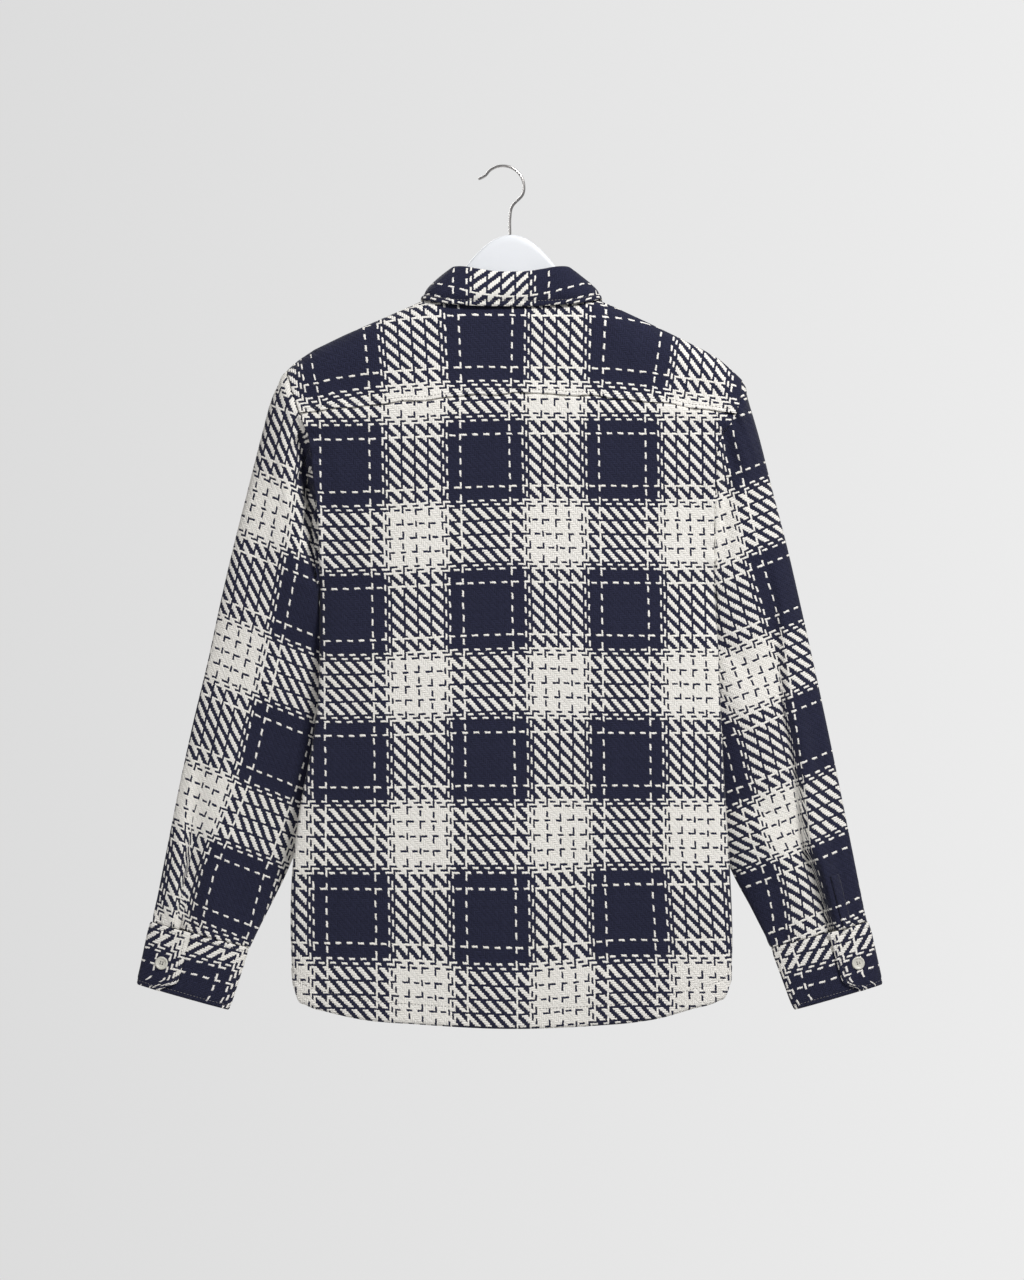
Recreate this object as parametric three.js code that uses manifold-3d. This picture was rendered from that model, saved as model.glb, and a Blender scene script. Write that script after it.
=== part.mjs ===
// A check shacket hanging on a plain clothes hanger, in millimetres with +Z up.
// The origin is the inner top of the hook, where the rail carries it, and the back faces -Y.
// Cloth pieces are thin walls, and neighbours stop a small gap short of each other at their seams.
import * as THREE from "three";
import { mergeVertices } from "three/addons/utils/BufferGeometryUtils.js";
import Module from "manifold-3d";

const wasm = await Module();
wasm.setup();

// Driving sizes
const CLOTH = 2; // thickness of the woven cloth
const SEAM = 0.3; // gap between pieces that meet
const CENTRE_X = 8.3; // the garment hangs this far right of the hook's top
const UNDERARM_Z = -435;
const OPEN_Z = -300; // below this height the armhole closes towards the underarm
const ARMHOLE_HALF = 17; // half the armhole's depth from back to front
const NECK_HALF = 80;
const NECK_Z = -134; // the shoulder line at the side of the neck
const NECK_DROP = 78; // how far the front neckline dips
const BACK_NECK_Z = -141;
const YOKE_FRONT_DROP = 30; // the yoke reaches this far down the front
const BAND_HALF = 16; // half the width of the buttoned band
const SLEEVE_RINGS = 17;
const BUTTON_RADIUS = 6.8;
const BUTTON_DEPTH = 2.6;
const HANGER_DEPTH = 12;
const WIRE_RADIUS = 1.4;

// Armhole and side seams: x of each edge of the body at a height
const SIDES = [
  { z: -212, left: -233, right: 240 },
  { z: -222, left: -230, right: 240 },
  { z: -240, left: -225, right: 238 },
  { z: -262, left: -217, right: 231 },
  { z: -276, left: -212, right: 221 },
  { z: -290, left: -208, right: 215 },
  { z: -324, left: -205, right: 212.5 },
  { z: -346, left: -202, right: 211.5 },
  { z: -408, left: -199, right: 211 },
  { z: -435, left: -199, right: 212 },
  { z: -512, left: -199, right: 216 },
  { z: -554, left: -200.5, right: 217.5 },
  { z: -596, left: -206, right: 219.5 },
  { z: -668, left: -219.5, right: 223.5 },
  { z: -731, left: -227, right: 227.5 },
  { z: -836, left: -227, right: 229 },
  { z: -850, left: -226, right: 228 },
];
// The shoulder line, from tip to tip
const RIDGE = [
  { x: -233, z: -212 },
  { x: -219, z: -200 },
  { x: -204, z: -190 },
  { x: -173, z: -175 },
  { x: -141, z: -161 },
  { x: -110, z: -147.5 },
  { x: -80, z: NECK_Z },
  { x: 80, z: NECK_Z },
  { x: 108, z: -146 },
  { x: 139, z: -160.5 },
  { x: 171, z: -176 },
  { x: 202, z: -191.5 },
  { x: 217, z: -200.5 },
  { x: 233, z: -214.5 },
  { x: 240, z: -222 },
];
// The hem and the yoke's back seam, across the body from left edge (-1) to right edge (1)
const HEM = [
  { across: -1, z: -851 },
  { across: -0.98, z: -864 },
  { across: -0.94, z: -870 },
  { across: -0.83, z: -877.5 },
  { across: -0.7, z: -884 },
  { across: -0.42, z: -889.5 },
  { across: 0, z: -894 },
  { across: 0.4, z: -890.5 },
  { across: 0.54, z: -888 },
  { across: 0.68, z: -883 },
  { across: 0.82, z: -874 },
  { across: 0.94, z: -866 },
  { across: 0.98, z: -860 },
  { across: 1, z: -848 },
];
const YOKE_SEAM = [
  { across: -1, z: -256 },
  { across: -0.6, z: -247 },
  { across: 0.08, z: -236 },
  { across: 0.65, z: -246 },
  { across: 1, z: -257 },
];
// The yoke's arch over the hanger: how far each line lies below the shoulder line, back to front
const ARCH = [
  { drop: 24, y: -16.5 },
  { drop: 11, y: -13 },
  { drop: 4, y: -8.5 },
  { drop: 0, y: -3.2 },
  { drop: 0, y: 3.2 },
  { drop: 4, y: 8.5 },
  { drop: 11, y: 13 },
  { drop: 20, y: 15.6 },
  { drop: YOKE_FRONT_DROP, y: 17 },
];
// Each sleeve from armhole to cuff: its outer and inner edges, its middle's y and its half depth
const SLEEVE = [
  { outZ: -214, outL: -233, outR: 240, inZ: -435, inL: -199, inR: 212, y: 0, half: 17 },
  { outZ: -241, outL: -248, outR: 248, inZ: -447, inL: -199.6, inR: 213, y: 2, half: 17 },
  { outZ: -280, outL: -259.5, outR: 259, inZ: -461, inL: -199.3, inR: 214, y: 5, half: 16.5 },
  { outZ: -335, outL: -274, outR: 272.5, inZ: -482, inL: -194, inR: 209, y: 8, half: 16 },
  { outZ: -395, outL: -289.5, outR: 288, inZ: -512, inL: -187, inR: 203, y: 11, half: 15 },
  { outZ: -455, outL: -303.5, outR: 302, inZ: -552, inL: -184, inR: 200, y: 13, half: 14 },
  { outZ: -515, outL: -316.5, outR: 315.5, inZ: -596, inL: -188, inR: 201, y: 14.5, half: 13.5 },
  { outZ: -575, outL: -331, outR: 328.5, inZ: -640, inL: -199, inR: 206, y: 15.5, half: 13 },
  { outZ: -635, outL: -344, outR: 341, inZ: -684, inL: -214, inR: 214, y: 15.5, half: 12 },
  { outZ: -690, outL: -355, outR: 352, inZ: -730, inL: -232, inR: 229, y: 15.5, half: 11.5 },
  { outZ: -740, outL: -365, outR: 362, inZ: -772, inL: -252.5, inR: 251, y: 15.5, half: 11 },
  { outZ: -785.5, outL: -374, outR: 371, inZ: -812, inL: -273, inR: 271, y: 15.5, half: 10.5 },
];
const CUFF_END = { outZ: -851, outL: -388, outR: 385.5, inZ: -877.5, inL: -294, inR: 295, y: 15.5, half: 10 };
// The collar from the middle of the back (0) round the shoulder (1) to the middle of the front (2)
const COLLAR = [
  { turn: 0, foldX: 0, foldY: -13, foldZ: -110, leafX: 0, leafY: -18.5, leafZ: -146 },
  { turn: 0.22, foldX: 16, foldY: -13, foldZ: -109.6, leafX: 26, leafY: -18.5, leafZ: -145.8 },
  { turn: 0.42, foldX: 32, foldY: -13, foldZ: -107.4, leafX: 50, leafY: -18.3, leafZ: -144.6 },
  { turn: 0.62, foldX: 47, foldY: -12, foldZ: -104.8, leafX: 72, leafY: -17, leafZ: -142.4 },
  { turn: 0.82, foldX: 57, foldY: -7, foldZ: -104.8, leafX: 88, leafY: -11, leafZ: -139 },
  { turn: 1, foldX: 61, foldY: 0, foldZ: -107.5, leafX: 94.5, leafY: 0, leafZ: -136.5 },
  { turn: 1.05, foldX: 61, foldY: 3, foldZ: -109, leafX: 95, leafY: 7, leafZ: -138 },
  { turn: 1.18, foldX: 60, foldY: 8, foldZ: -114, leafX: 95, leafY: 15, leafZ: -146 },
  { turn: 1.36, foldX: 54, foldY: 14, foldZ: -128, leafX: 90, leafY: 21.5, leafZ: -168 },
  { turn: 1.55, foldX: 43, foldY: 18.5, foldZ: -150, leafX: 79, leafY: 24.5, leafZ: -197 },
  { turn: 1.75, foldX: 27, foldY: 22, foldZ: -173, leafX: 64, leafY: 26.8, leafZ: -224 },
  { turn: 1.98, foldX: 5, foldY: 25, foldZ: -193, leafX: 46, leafY: 28, leafZ: -250 },
];
// Broad soft folds in the cloth, each a line with a half width; a negative rise is a trough
const FOLDS = [
  { x0: -196, z0: -300, x1: -172, z1: -455, wide: 16, rise: -3 },
  { x0: 205, z0: -300, x1: 168, z1: -420, wide: 15, rise: -2.6 },
  { x0: -120, z0: -470, x1: -150, z1: -800, wide: 34, rise: 2.2 },
  { x0: 40, z0: -520, x1: 62, z1: -850, wide: 40, rise: -2 },
  { x0: 150, z0: -560, x1: 170, z1: -860, wide: 30, rise: 2 },
  { x0: 292, z0: -500, x1: 335, z1: -790, wide: 12, rise: 3.2 },
  { x0: -245, z0: -300, x1: -262, z1: -470, wide: 16, rise: -2.4 },
];
// Front buttons: how far down the band's length each one sits
const FRONT_BUTTONS = [0.03, 0.17, 0.31, 0.45, 0.59, 0.73, 0.87];

// Interpolation
const { clamp, lerp, smoothstep, degToRad } = THREE.MathUtils;
const vec = (x, y, z) => new THREE.Vector3(x, y, z);

// A column of a table at a value of its key column, in straight lines between rows.
function read(table, key, value, column) {
  const rising = table[0][key] < table[table.length - 1][key];
  const after = table.findIndex((row) => (rising ? row[key] >= value : row[key] <= value));
  if (after === 0) return table[0][column];
  if (after < 0) return table[table.length - 1][column];
  const [a, b] = [table[after - 1], table[after]];
  return lerp(a[column], b[column], (value - a[key]) / (b[key] - a[key]));
}

// A column of a table at a fractional row, on a smooth curve through the rows.
function smooth(table, row, column) {
  const at = (k) => table[clamp(k, 0, table.length - 1)][column];
  const k = Math.min(Math.floor(row), table.length - 2);
  const t = row - k;
  const [a, b, c, d] = [at(k - 1), at(k), at(k + 1), at(k + 2)];
  return b + 0.5 * t * (c - a + t * (2 * a - 5 * b + 4 * c - d + t * (3 * (b - c) + d - a)));
}

// How far the broad folds lift the cloth at a place on the back or the sleeves.
function foldRise(x, z) {
  let rise = 0;
  for (const f of FOLDS) {
    const along = (z - f.z0) / (f.z1 - f.z0);
    if (along <= 0 || along >= 1) continue;
    const off = (x - lerp(f.x0, f.x1, along)) / f.wide;
    rise += f.rise * Math.exp(-off * off) * Math.sin(Math.PI * along);
  }
  return rise;
}

// The body's surface
const ridgeZ = (x) => read(RIDGE, "x", x, "z");
const hemZ = (across) => read(HEM, "across", across, "z");
const yokeSeamZ = (across) => read(YOKE_SEAM, "across", across, "z");
const edgeX = (across, z) => Math.abs(across) * read(SIDES, "z", z, across < 0 ? "left" : "right");
const midY = (z) => -8 * smoothstep(-z, -UNDERARM_Z, 520);
const armholeY = (z) => ARMHOLE_HALF * Math.sqrt(clamp(1 - ((OPEN_Z - z) / (OPEN_Z - UNDERARM_Z)) ** 2, 0, 1));
const openY = (z) => (z > OPEN_Z ? ARMHOLE_HALF : armholeY(z));

// Distance of the back or front from the middle plane: a lens below the underarm, flatter above it.
function bulge(across, z, deep, power) {
  const open = openY(z);
  const lens = clamp(1 - across * across, 0, 1) ** power;
  const flat = 1 - Math.abs(across) ** 3;
  return open + (deep - open) * lerp(lens, flat, open / ARMHOLE_HALF);
}

function backPoint(across, z) {
  const x = edgeX(across, z);
  const deep = lerp(22, 16, smoothstep(-z, -UNDERARM_Z, 520));
  const fade = 1 - across ** 8;
  return vec(x, midY(z) - SEAM / 2 - bulge(across, z, deep, 0.3) - foldRise(x, z) * fade, z);
}

function frontY(across, z, drop) {
  const deep = lerp(24, 32, smoothstep(-z, -UNDERARM_Z, 520));
  const lens = midY(z) + SEAM / 2 + bulge(across, z, deep, 0.625);
  if (drop < YOKE_FRONT_DROP) return read(ARCH.slice(4), "drop", drop, "y");
  return lerp(ARCH[ARCH.length - 1].y, lens, smoothstep(drop, YOKE_FRONT_DROP, 110));
}

// Columns across the body, closer together at the sides, shared by back, yoke and fronts.
const TIPS = { left: -RIDGE[0].x, right: RIDGE[RIDGE.length - 1].x };
function halfAcross(tip) {
  const neck = NECK_HALF / tip;
  const inside = [0.4, 0.75, 1].map((t) => t * neck);
  const outside = Array.from({ length: 9 }, (_, k) => lerp(neck, 1, Math.sin(((k + 1) * Math.PI) / 18)));
  return [...inside, ...outside];
}
const ACROSS = [...halfAcross(TIPS.left).map((across) => -across).reverse(), 0, ...halfAcross(TIPS.right)];
const COLUMNS = ACROSS.length - 1;
const tipX = (across) => (across < 0 ? across * TIPS.left : across * TIPS.right);

// Heights of a panel's rows: some down to the underarm, the rest on down to the hem.
function heights(top, bottom, above, below) {
  const upper = Array.from({ length: above + 1 }, (_, i) => lerp(top, UNDERARM_Z, i / above));
  const lower = Array.from({ length: below }, (_, i) => lerp(UNDERARM_Z, bottom, (i + 1) / below));
  return [...upper, ...lower];
}

// Walls

// A mesh geometry from points and triangles.
function geometryOf(points, triangles) {
  const g = new THREE.BufferGeometry().setFromPoints(points).setIndex(triangles);
  g.computeVertexNormals();
  return g;
}

// Unit normals of a grid whose rows run down and whose columns run right, seen from outside.
function gridNormals(rows, closed) {
  const [n, m] = [rows.length, rows[0].length];
  const at = (i, j) => rows[clamp(i, 0, n - 1)][closed ? (j + m) % m : clamp(j, 0, m - 1)];
  return rows.map((row, i) =>
    row.map((_, j) => {
      const down = at(i + 1, j).clone().sub(at(i - 1, j));
      const right = at(i, j + 1).clone().sub(at(i, j - 1));
      return down.cross(right).normalize();
    }),
  );
}

// A closed wall on a grid of outside points: the grid, the same grid moved inwards, and its edges.
// steer may turn a normal, so that two walls meet squarely at a seam.
function wall(rows, { closed = false, depth = CLOTH, steer } = {}) {
  const [n, m] = [rows.length, rows[0].length];
  const normals = gridNormals(rows, closed);
  if (steer) normals.forEach((row, i) => row.forEach((normal, j) => steer(normal, rows[i][j], i, j)));
  const inner = rows.map((row, i) => row.map((p, j) => p.clone().addScaledVector(normals[i][j], -depth)));
  const id = (i, j) => i * m + (j % m);
  const under = (i, j) => n * m + id(i, j);
  const triangles = [];
  const quad = (a, b, c, d) => triangles.push(a, b, c, a, c, d);
  const last = closed ? m : m - 1;
  for (let j = 0; j < last; j++) {
    for (let i = 0; i < n - 1; i++) {
      quad(id(i, j), id(i + 1, j), id(i + 1, j + 1), id(i, j + 1));
      quad(under(i, j), under(i, j + 1), under(i + 1, j + 1), under(i + 1, j));
    }
    quad(id(0, j), id(0, j + 1), under(0, j + 1), under(0, j));
    quad(id(n - 1, j), under(n - 1, j), under(n - 1, j + 1), id(n - 1, j + 1));
  }
  for (let i = 0; !closed && i < n - 1; i++) {
    quad(id(i, 0), under(i, 0), under(i + 1, 0), id(i + 1, 0));
    quad(id(i, m - 1), id(i + 1, m - 1), under(i + 1, m - 1), under(i, m - 1));
  }
  return geometryOf([...rows.flat(), ...inner.flat()], triangles);
}

// A place on a grid at a fractional row and column, with its outward normal.
function onGrid(rows, row, column) {
  const [i, j] = [Math.min(Math.floor(row), rows.length - 2), Math.min(Math.floor(column), rows[0].length - 2)];
  const [s, t] = [row - i, column - j];
  const left = rows[i][j].clone().lerp(rows[i + 1][j], s);
  const right = rows[i][j + 1].clone().lerp(rows[i + 1][j + 1], s);
  const down = rows[i + 1][j].clone().sub(rows[i][j]);
  const normal = down.cross(right.clone().sub(left)).normalize();
  return { point: left.lerp(right, t), normal };
}

// A strip that lies on a grid: the grid's own points, moved out past the seam gap.
function stripOn(rows, rowList, columnList) {
  return rowList.map((r) =>
    columnList.map((c) => {
      const { point, normal } = onGrid(rows, r, c);
      return point.addScaledVector(normal, CLOTH + SEAM);
    }),
  );
}

// Booleans
function solidOf(geometry) {
  const bare = geometry.clone();
  for (const name of Object.keys(bare.attributes)) if (name !== "position") bare.deleteAttribute(name);
  const merged = mergeVertices(bare, 1e-4);
  return new wasm.Manifold(
    new wasm.Mesh({
      numProp: 3,
      vertProperties: Float32Array.from(merged.attributes.position.array),
      triVerts: Uint32Array.from(merged.index.array),
    }),
  );
}

function geometryFrom(solid) {
  const { vertProperties, triVerts } = solid.getMesh();
  const g = new THREE.BufferGeometry();
  g.setAttribute("position", new THREE.BufferAttribute(vertProperties, 3));
  g.setIndex(new THREE.BufferAttribute(triVerts, 1));
  return g;
}

const cut = (geometry, ...cutters) =>
  geometryFrom(cutters.reduce((rest, cutter) => rest.subtract(solidOf(cutter)), solidOf(geometry)));

// The two halves of the neck hole: nearly straight across the back, a half ellipse in front.
function neckCutters() {
  const deep = 60;
  const top = 20;
  const back = new THREE.Shape();
  back.moveTo(NECK_HALF, top).lineTo(-NECK_HALF, top).lineTo(-NECK_HALF, BACK_NECK_Z + 2);
  back.quadraticCurveTo(0, BACK_NECK_Z - 2, NECK_HALF, BACK_NECK_Z + 2);
  const front = new THREE.Shape();
  front.moveTo(NECK_HALF, top).lineTo(-NECK_HALF, top).lineTo(-NECK_HALF, NECK_Z);
  front.absellipse(0, NECK_Z, NECK_HALF, NECK_DROP, Math.PI, 2 * Math.PI, false);
  const lap = 1; // the two halves run into each other over the shoulder line
  const solid = (shape, y) =>
    new THREE.ExtrudeGeometry(shape, { depth: deep + lap, bevelEnabled: false, curveSegments: 10 })
      .rotateX(Math.PI / 2)
      .translate(0, y, 0);
  return [solid(back, lap), solid(front, deep)];
}

// Materials
const cloth = new THREE.MeshStandardMaterial({ color: 0x5a5c70, roughness: 0.95 });
const collarCloth = new THREE.MeshStandardMaterial({ color: 0x34374f, roughness: 0.95 });
const buttonMaterial = new THREE.MeshStandardMaterial({ color: 0xdedaca, roughness: 0.35 });
const hangerMaterial = new THREE.MeshStandardMaterial({ color: 0xeff1f3, roughness: 0.4 });
const wireMaterial = new THREE.MeshStandardMaterial({ color: 0xc9ccd0, roughness: 0.25, metalness: 1 });

const garment = new THREE.Group();
garment.position.x = CENTRE_X;

function add(name, geometry, material = cloth) {
  const mesh = new THREE.Mesh(geometry, material);
  mesh.name = name;
  garment.add(mesh);
  return mesh;
}

// Where two walls meet, their edges are cut squarely: across the body at the side seams, and in the
// armhole's and the shoulder seams' own planes above the underarm.
function square(firstColumn, lastColumn, lastRow = -1) {
  return (normal, p, i, j) => {
    if (i === 0 || i === lastRow) normal.setZ(0).normalize();
    if (j !== firstColumn && j !== lastColumn) return;
    if (p.z < UNDERARM_Z + 1) normal.set(Math.sign(p.x), 0, 0);
    else normal.setX(0).normalize();
  };
}

// Back
const backColumns = ACROSS.map((across) =>
  heights(yokeSeamZ(across) - SEAM, hemZ(across), 6, 12).map((z) => backPoint(across, z)),
);
const transpose = (columns) => columns[0].map((_, i) => columns.map((column) => column[i]));
const back = transpose(backColumns);
add("back", wall(back, { steer: square(0, COLUMNS) }));

// Yoke, from its back seam over the shoulders to its front seam
function yokeColumn(across) {
  const top = ridgeZ(tipX(across));
  const seam = backPoint(across, yokeSeamZ(across));
  const arch = ARCH.map(({ drop, y }) => vec(edgeX(across, top - drop), y, top - drop));
  const between = [1 / 3, 2 / 3].map((t) => seam.clone().lerp(arch[0], t));
  return [seam, ...between, ...arch].reverse();
}
const yokeColumns = ACROSS.map(yokeColumn);
// Seen from outside, the back's side of the arch runs down and to the right.
const yoke = transpose(yokeColumns);
add("yoke", cut(wall(yoke, { steer: square(0, COLUMNS, yoke.length - 1) }), ...neckCutters()));

// Fronts: the left one laps over the right one, which passes below it
function frontColumn(across, x, lower) {
  const ridge = ridgeZ(tipX(across));
  const top = ridge - YOKE_FRONT_DROP - SEAM;
  return heights(top, hemZ(across), 6, 12).map((z) => {
    const at = x ?? edgeX(across, z);
    const under = lower ? (CLOTH + 2 * SEAM) * (1 - smoothstep(at, 30, 75)) : 0;
    return vec(at, frontY(across, z, ridge - z) - under, z);
  });
}
const leftAcross = ACROSS.filter((across) => across < 0.001).reverse();
const rightAcross = ACROSS.filter((across) => across > -0.001).reverse();
const frontLeft = transpose([
  frontColumn(0, BAND_HALF, false),
  ...leftAcross.map((across) => frontColumn(across, undefined, false)),
]);
const frontRight = transpose([
  ...rightAcross.map((across) => frontColumn(across, undefined, true)),
  frontColumn(0, -BAND_HALF, true),
]);
const frontCutter = neckCutters()[1];
add("front_left", cut(wall(frontLeft, { steer: square(-1, frontLeft[0].length - 1) }), frontCutter));
add("front_right", cut(wall(frontRight, { steer: square(0, -1) }), frontCutter));

// The buttoned band down the left front, from just under the neckline to the hem
const bandTopZ = NECK_Z - NECK_DROP - 4;
const below = frontLeft.findIndex((row) => row[1].z < bandTopZ);
const bandTop = below - (bandTopZ - frontLeft[below][1].z) / (frontLeft[below - 1][1].z - frontLeft[below][1].z);
const bandRows = [bandTop, ...frontLeft.map((_, i) => i).slice(below)];
const bandColumns = [0.02, 0.5, 1, 1 + BAND_HALF / -frontLeft[below][2].x];
const band = stripOn(frontLeft, bandRows, bandColumns);
add("front_placket", wall(band));

// Sleeves

// The armhole's loop on one side: down the back's edge, round the underarm, up the front's edge.
function armhole(side) {
  const edge = side < 0 ? 0 : COLUMNS;
  const front = side < 0 ? frontLeft : frontRight;
  const frontEdge = side < 0 ? front[0].length - 1 : 0;
  const overBack = yoke.map((row) => row[edge]);
  const top = 4; // the arch's line just behind the shoulder line
  const downBack = [...overBack.slice(top + 1), ...back.slice(1, 6).map((row) => row[edge])];
  const underarm = vec(back[6][edge].x, 0, UNDERARM_Z);
  const upFront = [...front.slice(1, 6).map((row) => row[frontEdge])].reverse();
  const loop = [...downBack, underarm, ...upFront, ...overBack.slice(0, top + 1)];
  return loop.map((p) => p.clone().setX(p.x + side * SEAM));
}

// Angle of each point of the loop: 0 at the shoulder, half a turn at the underarm, by length.
function loopAngles(loop) {
  const low = loop.reduce((best, p, j) => (p.z < loop[best].z ? j : best), 0);
  const lengths = loop.map((p, j) => p.distanceTo(loop[(j + 1) % loop.length]));
  const total = (from, to) => lengths.slice(from, to).reduce((a, b) => a + b, 0);
  const half = lengths[loop.length - 1] / 2;
  const [down, up] = [half + total(0, low), total(low, loop.length - 1) + half];
  return loop.map((_, j) =>
    j <= low ? (Math.PI * (half + total(0, j))) / down : Math.PI * (1 + total(low, j) / up),
  );
}

// A point on a flattened ring between a sleeve's outer and inner edges.
function ringPoint(side, section, angle, grow = 0) {
  const out = vec(side < 0 ? section.outL : section.outR, 0, section.outZ);
  const inn = vec(side < 0 ? section.inL : section.inR, 0, section.inZ);
  const reach = inn.clone().sub(out).normalize();
  out.addScaledVector(reach, -grow);
  inn.addScaledVector(reach, grow);
  const p = out.lerp(inn, (1 - Math.cos(angle)) / 2);
  const turn = Math.sin(angle);
  const rise = Math.sign(turn) * Math.abs(turn) ** 0.85;
  p.y = section.y - rise * (section.half + grow);
  if (rise > 0) p.y -= foldRise(p.x, p.z) * rise;
  return p;
}

const sectionAt = (row) =>
  Object.fromEntries(Object.keys(SLEEVE[0]).map((column) => [column, smooth(SLEEVE, row, column)]));

function sleeveRows(side) {
  const loop = armhole(side);
  const angles = loopAngles(loop);
  const first = angles.map((a) => ringPoint(side, SLEEVE[0], a));
  const rows = Array.from({ length: SLEEVE_RINGS }, (_, i) => {
    const row = ((SLEEVE.length - 1) * i) / (SLEEVE_RINGS - 1);
    const section = sectionAt(row);
    const fade = 1 - smoothstep(row, 0, 4);
    return angles.map((a, j) => {
      const shift = loop[j].clone().sub(first[j]);
      return ringPoint(side, section, a).addScaledVector(shift, fade);
    });
  });
  return side < 0 ? rows : rows.map((ring) => [ring[0], ...ring.slice(1).reverse()]);
}

// The cuff is a band whose end laps over its start on the back face.
const UNDER_LAP = degToRad(44);
const OVER_LAP = degToRad(80);
const CUFF_ROWS = [0, 0.35, 0.7, 0.9, 1];
const CUFF_STEPS = 30;

function cuffPoint(side, down, angle) {
  const top = SLEEVE[SLEEVE.length - 1];
  const section = {};
  for (const column of Object.keys(CUFF_END)) section[column] = lerp(top[column], CUFF_END[column], down);
  const lift = (CLOTH + 2 * SEAM) * smoothstep(angle, degToRad(330), degToRad(384));
  return ringPoint(side, section, angle, lift);
}

function cuffRows(side) {
  return CUFF_ROWS.map((down) => {
    const end = 2 * Math.PI + OVER_LAP - degToRad(20) * smoothstep(down, 0.7, 1) ** 2;
    const row = Array.from({ length: CUFF_STEPS + 1 }, (_, j) => {
      const angle = lerp(UNDER_LAP, end, j / CUFF_STEPS);
      return cuffPoint(side, down + (SEAM / 66) * (1 - down), angle);
    });
    return side < 0 ? row : row.reverse();
  });
}

// A disc with a raised rim, on an axis along +Z from its seat.
function buttonGeometry() {
  const [r, h] = [BUTTON_RADIUS, BUTTON_DEPTH];
  const profile = [
    [0, 0],
    [r * 0.8, 0],
    [r, h * 0.45],
    [r * 0.88, h],
    [r * 0.66, h * 0.72],
    [0, h * 0.66],
  ];
  return new THREE.LatheGeometry(profile.map(([x, y]) => new THREE.Vector2(x, y)), 14).rotateX(Math.PI / 2);
}

function addButton(name, point, normal) {
  const mesh = add(name, buttonGeometry(), buttonMaterial);
  mesh.position.copy(point).addScaledVector(normal, SEAM);
  mesh.quaternion.setFromUnitVectors(vec(0, 0, 1), normal);
}

for (const [side, word] of [[-1, "left"], [1, "right"]]) {
  const rows = sleeveRows(side);
  const inArmhole = (normal, p, i) => i === 0 && normal.setX(0).normalize();
  add("sleeve_" + word, wall(rows, { closed: true, steer: inArmhole }));
  add("cuff_" + word, wall(cuffRows(side)));

  // The bound slit above the cuff, on the sleeve's back face
  const slitRows = [SLEEVE_RINGS - 3, SLEEVE_RINGS - 2, SLEEVE_RINGS - 1];
  const target = side < 0 ? -345 : 342;
  const ring = rows[SLEEVE_RINGS - 2];
  const near = ring.findIndex((p, j) => ring[j + 1] && (p.x - target) * (ring[j + 1].x - target) <= 0 && p.y < 15);
  const slitColumns = [near, near + 0.5, near + 1];
  add("sleeve_placket_" + word, wall(stripOn(rows, slitRows, slitColumns)));

  const angle = 2 * Math.PI + degToRad(54);
  const step = 0.05;
  const seat = cuffPoint(side, 0.57, angle);
  const down = cuffPoint(side, 0.57 + step, angle).sub(seat);
  const round = cuffPoint(side, 0.57, angle + step).sub(seat);
  const normal = down.cross(round).normalize();
  if (normal.y > 0) normal.negate();
  addButton("button_cuff_" + word, seat, normal);
}

FRONT_BUTTONS.forEach((down, k) => {
  const { point, normal } = onGrid(band, down * (band.length - 1), 2);
  addButton("button_front_" + (k + 1), point, normal);
});

// Collar

// The neck seam just inside the neck hole: turn 0 is the middle of the back, 2 that of the front.
function neckline(turn) {
  const inside = 0.9;
  const width = NECK_HALF - inside;
  const a = (Math.PI / 2) * (turn <= 1 ? turn : turn - 1);
  if (turn <= 1) {
    const y = -12.2 * Math.cos(a) ** 0.4;
    return vec(width * Math.sin(a) ** 0.75, y, lerp(-140.2, -135.5, turn ** 3));
  }
  const z = NECK_Z - 1.5 - (NECK_DROP - inside - 1.5) * Math.sin(a);
  return vec(width * Math.cos(a), frontY(0, z, NECK_Z - z), z);
}

// One section of the collar: the stand's outside points, and the fall's over the fold to its edge.
function collarSection(k) {
  const at = (row) => COLLAR[clamp(row, 0, COLLAR.length - 1)];
  const foldAt = (row) => vec(at(row).foldX, at(row).foldY, at(row).foldZ);
  const fold = foldAt(k);
  const leaf = vec(at(k).leafX, at(k).leafY, at(k).leafZ);
  const base = neckline(at(k).turn);
  const along = k === 0 ? vec(1, 0, 0) : foldAt(k + 1).sub(foldAt(k - 1)).normalize();
  const up = fold.clone().sub(base);
  up.addScaledVector(along, -up.dot(along)).normalize();
  const out = along.clone().cross(up);
  const place = (h, v) => fold.clone().addScaledVector(out, h).addScaledVector(up, v);
  const top = place(0, -6);
  const stand = [top, top.clone().lerp(base, 0.5), base];
  const turned = [[-2.2, -5], [-2.2, -2.8], [-1.1, -0.7], [0.6, 0], [2.3, -0.7], [3.5, -2.8]];
  const roll = turned.map(([h, v]) => place(h, v));
  const last = roll[roll.length - 1];
  const fall = [1 / 3, 2 / 3, 1].map((t) =>
    last.clone().lerp(leaf, t).addScaledVector(out, 2.2 * Math.sin(Math.PI * t)),
  );
  return { stand, fall: [...roll, ...fall] };
}

const flipped = (points) => points.map((p) => vec(-p.x, p.y, p.z));
const sections = COLLAR.map((_, k) => collarSection(k));
for (const part of ["stand", "fall"]) {
  const right = sections.map((section) => section[part]);
  const left = right.slice(1).reverse().map(flipped);
  add("collar_" + part, wall(transpose([...left, ...right])), collarCloth);
}

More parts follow.
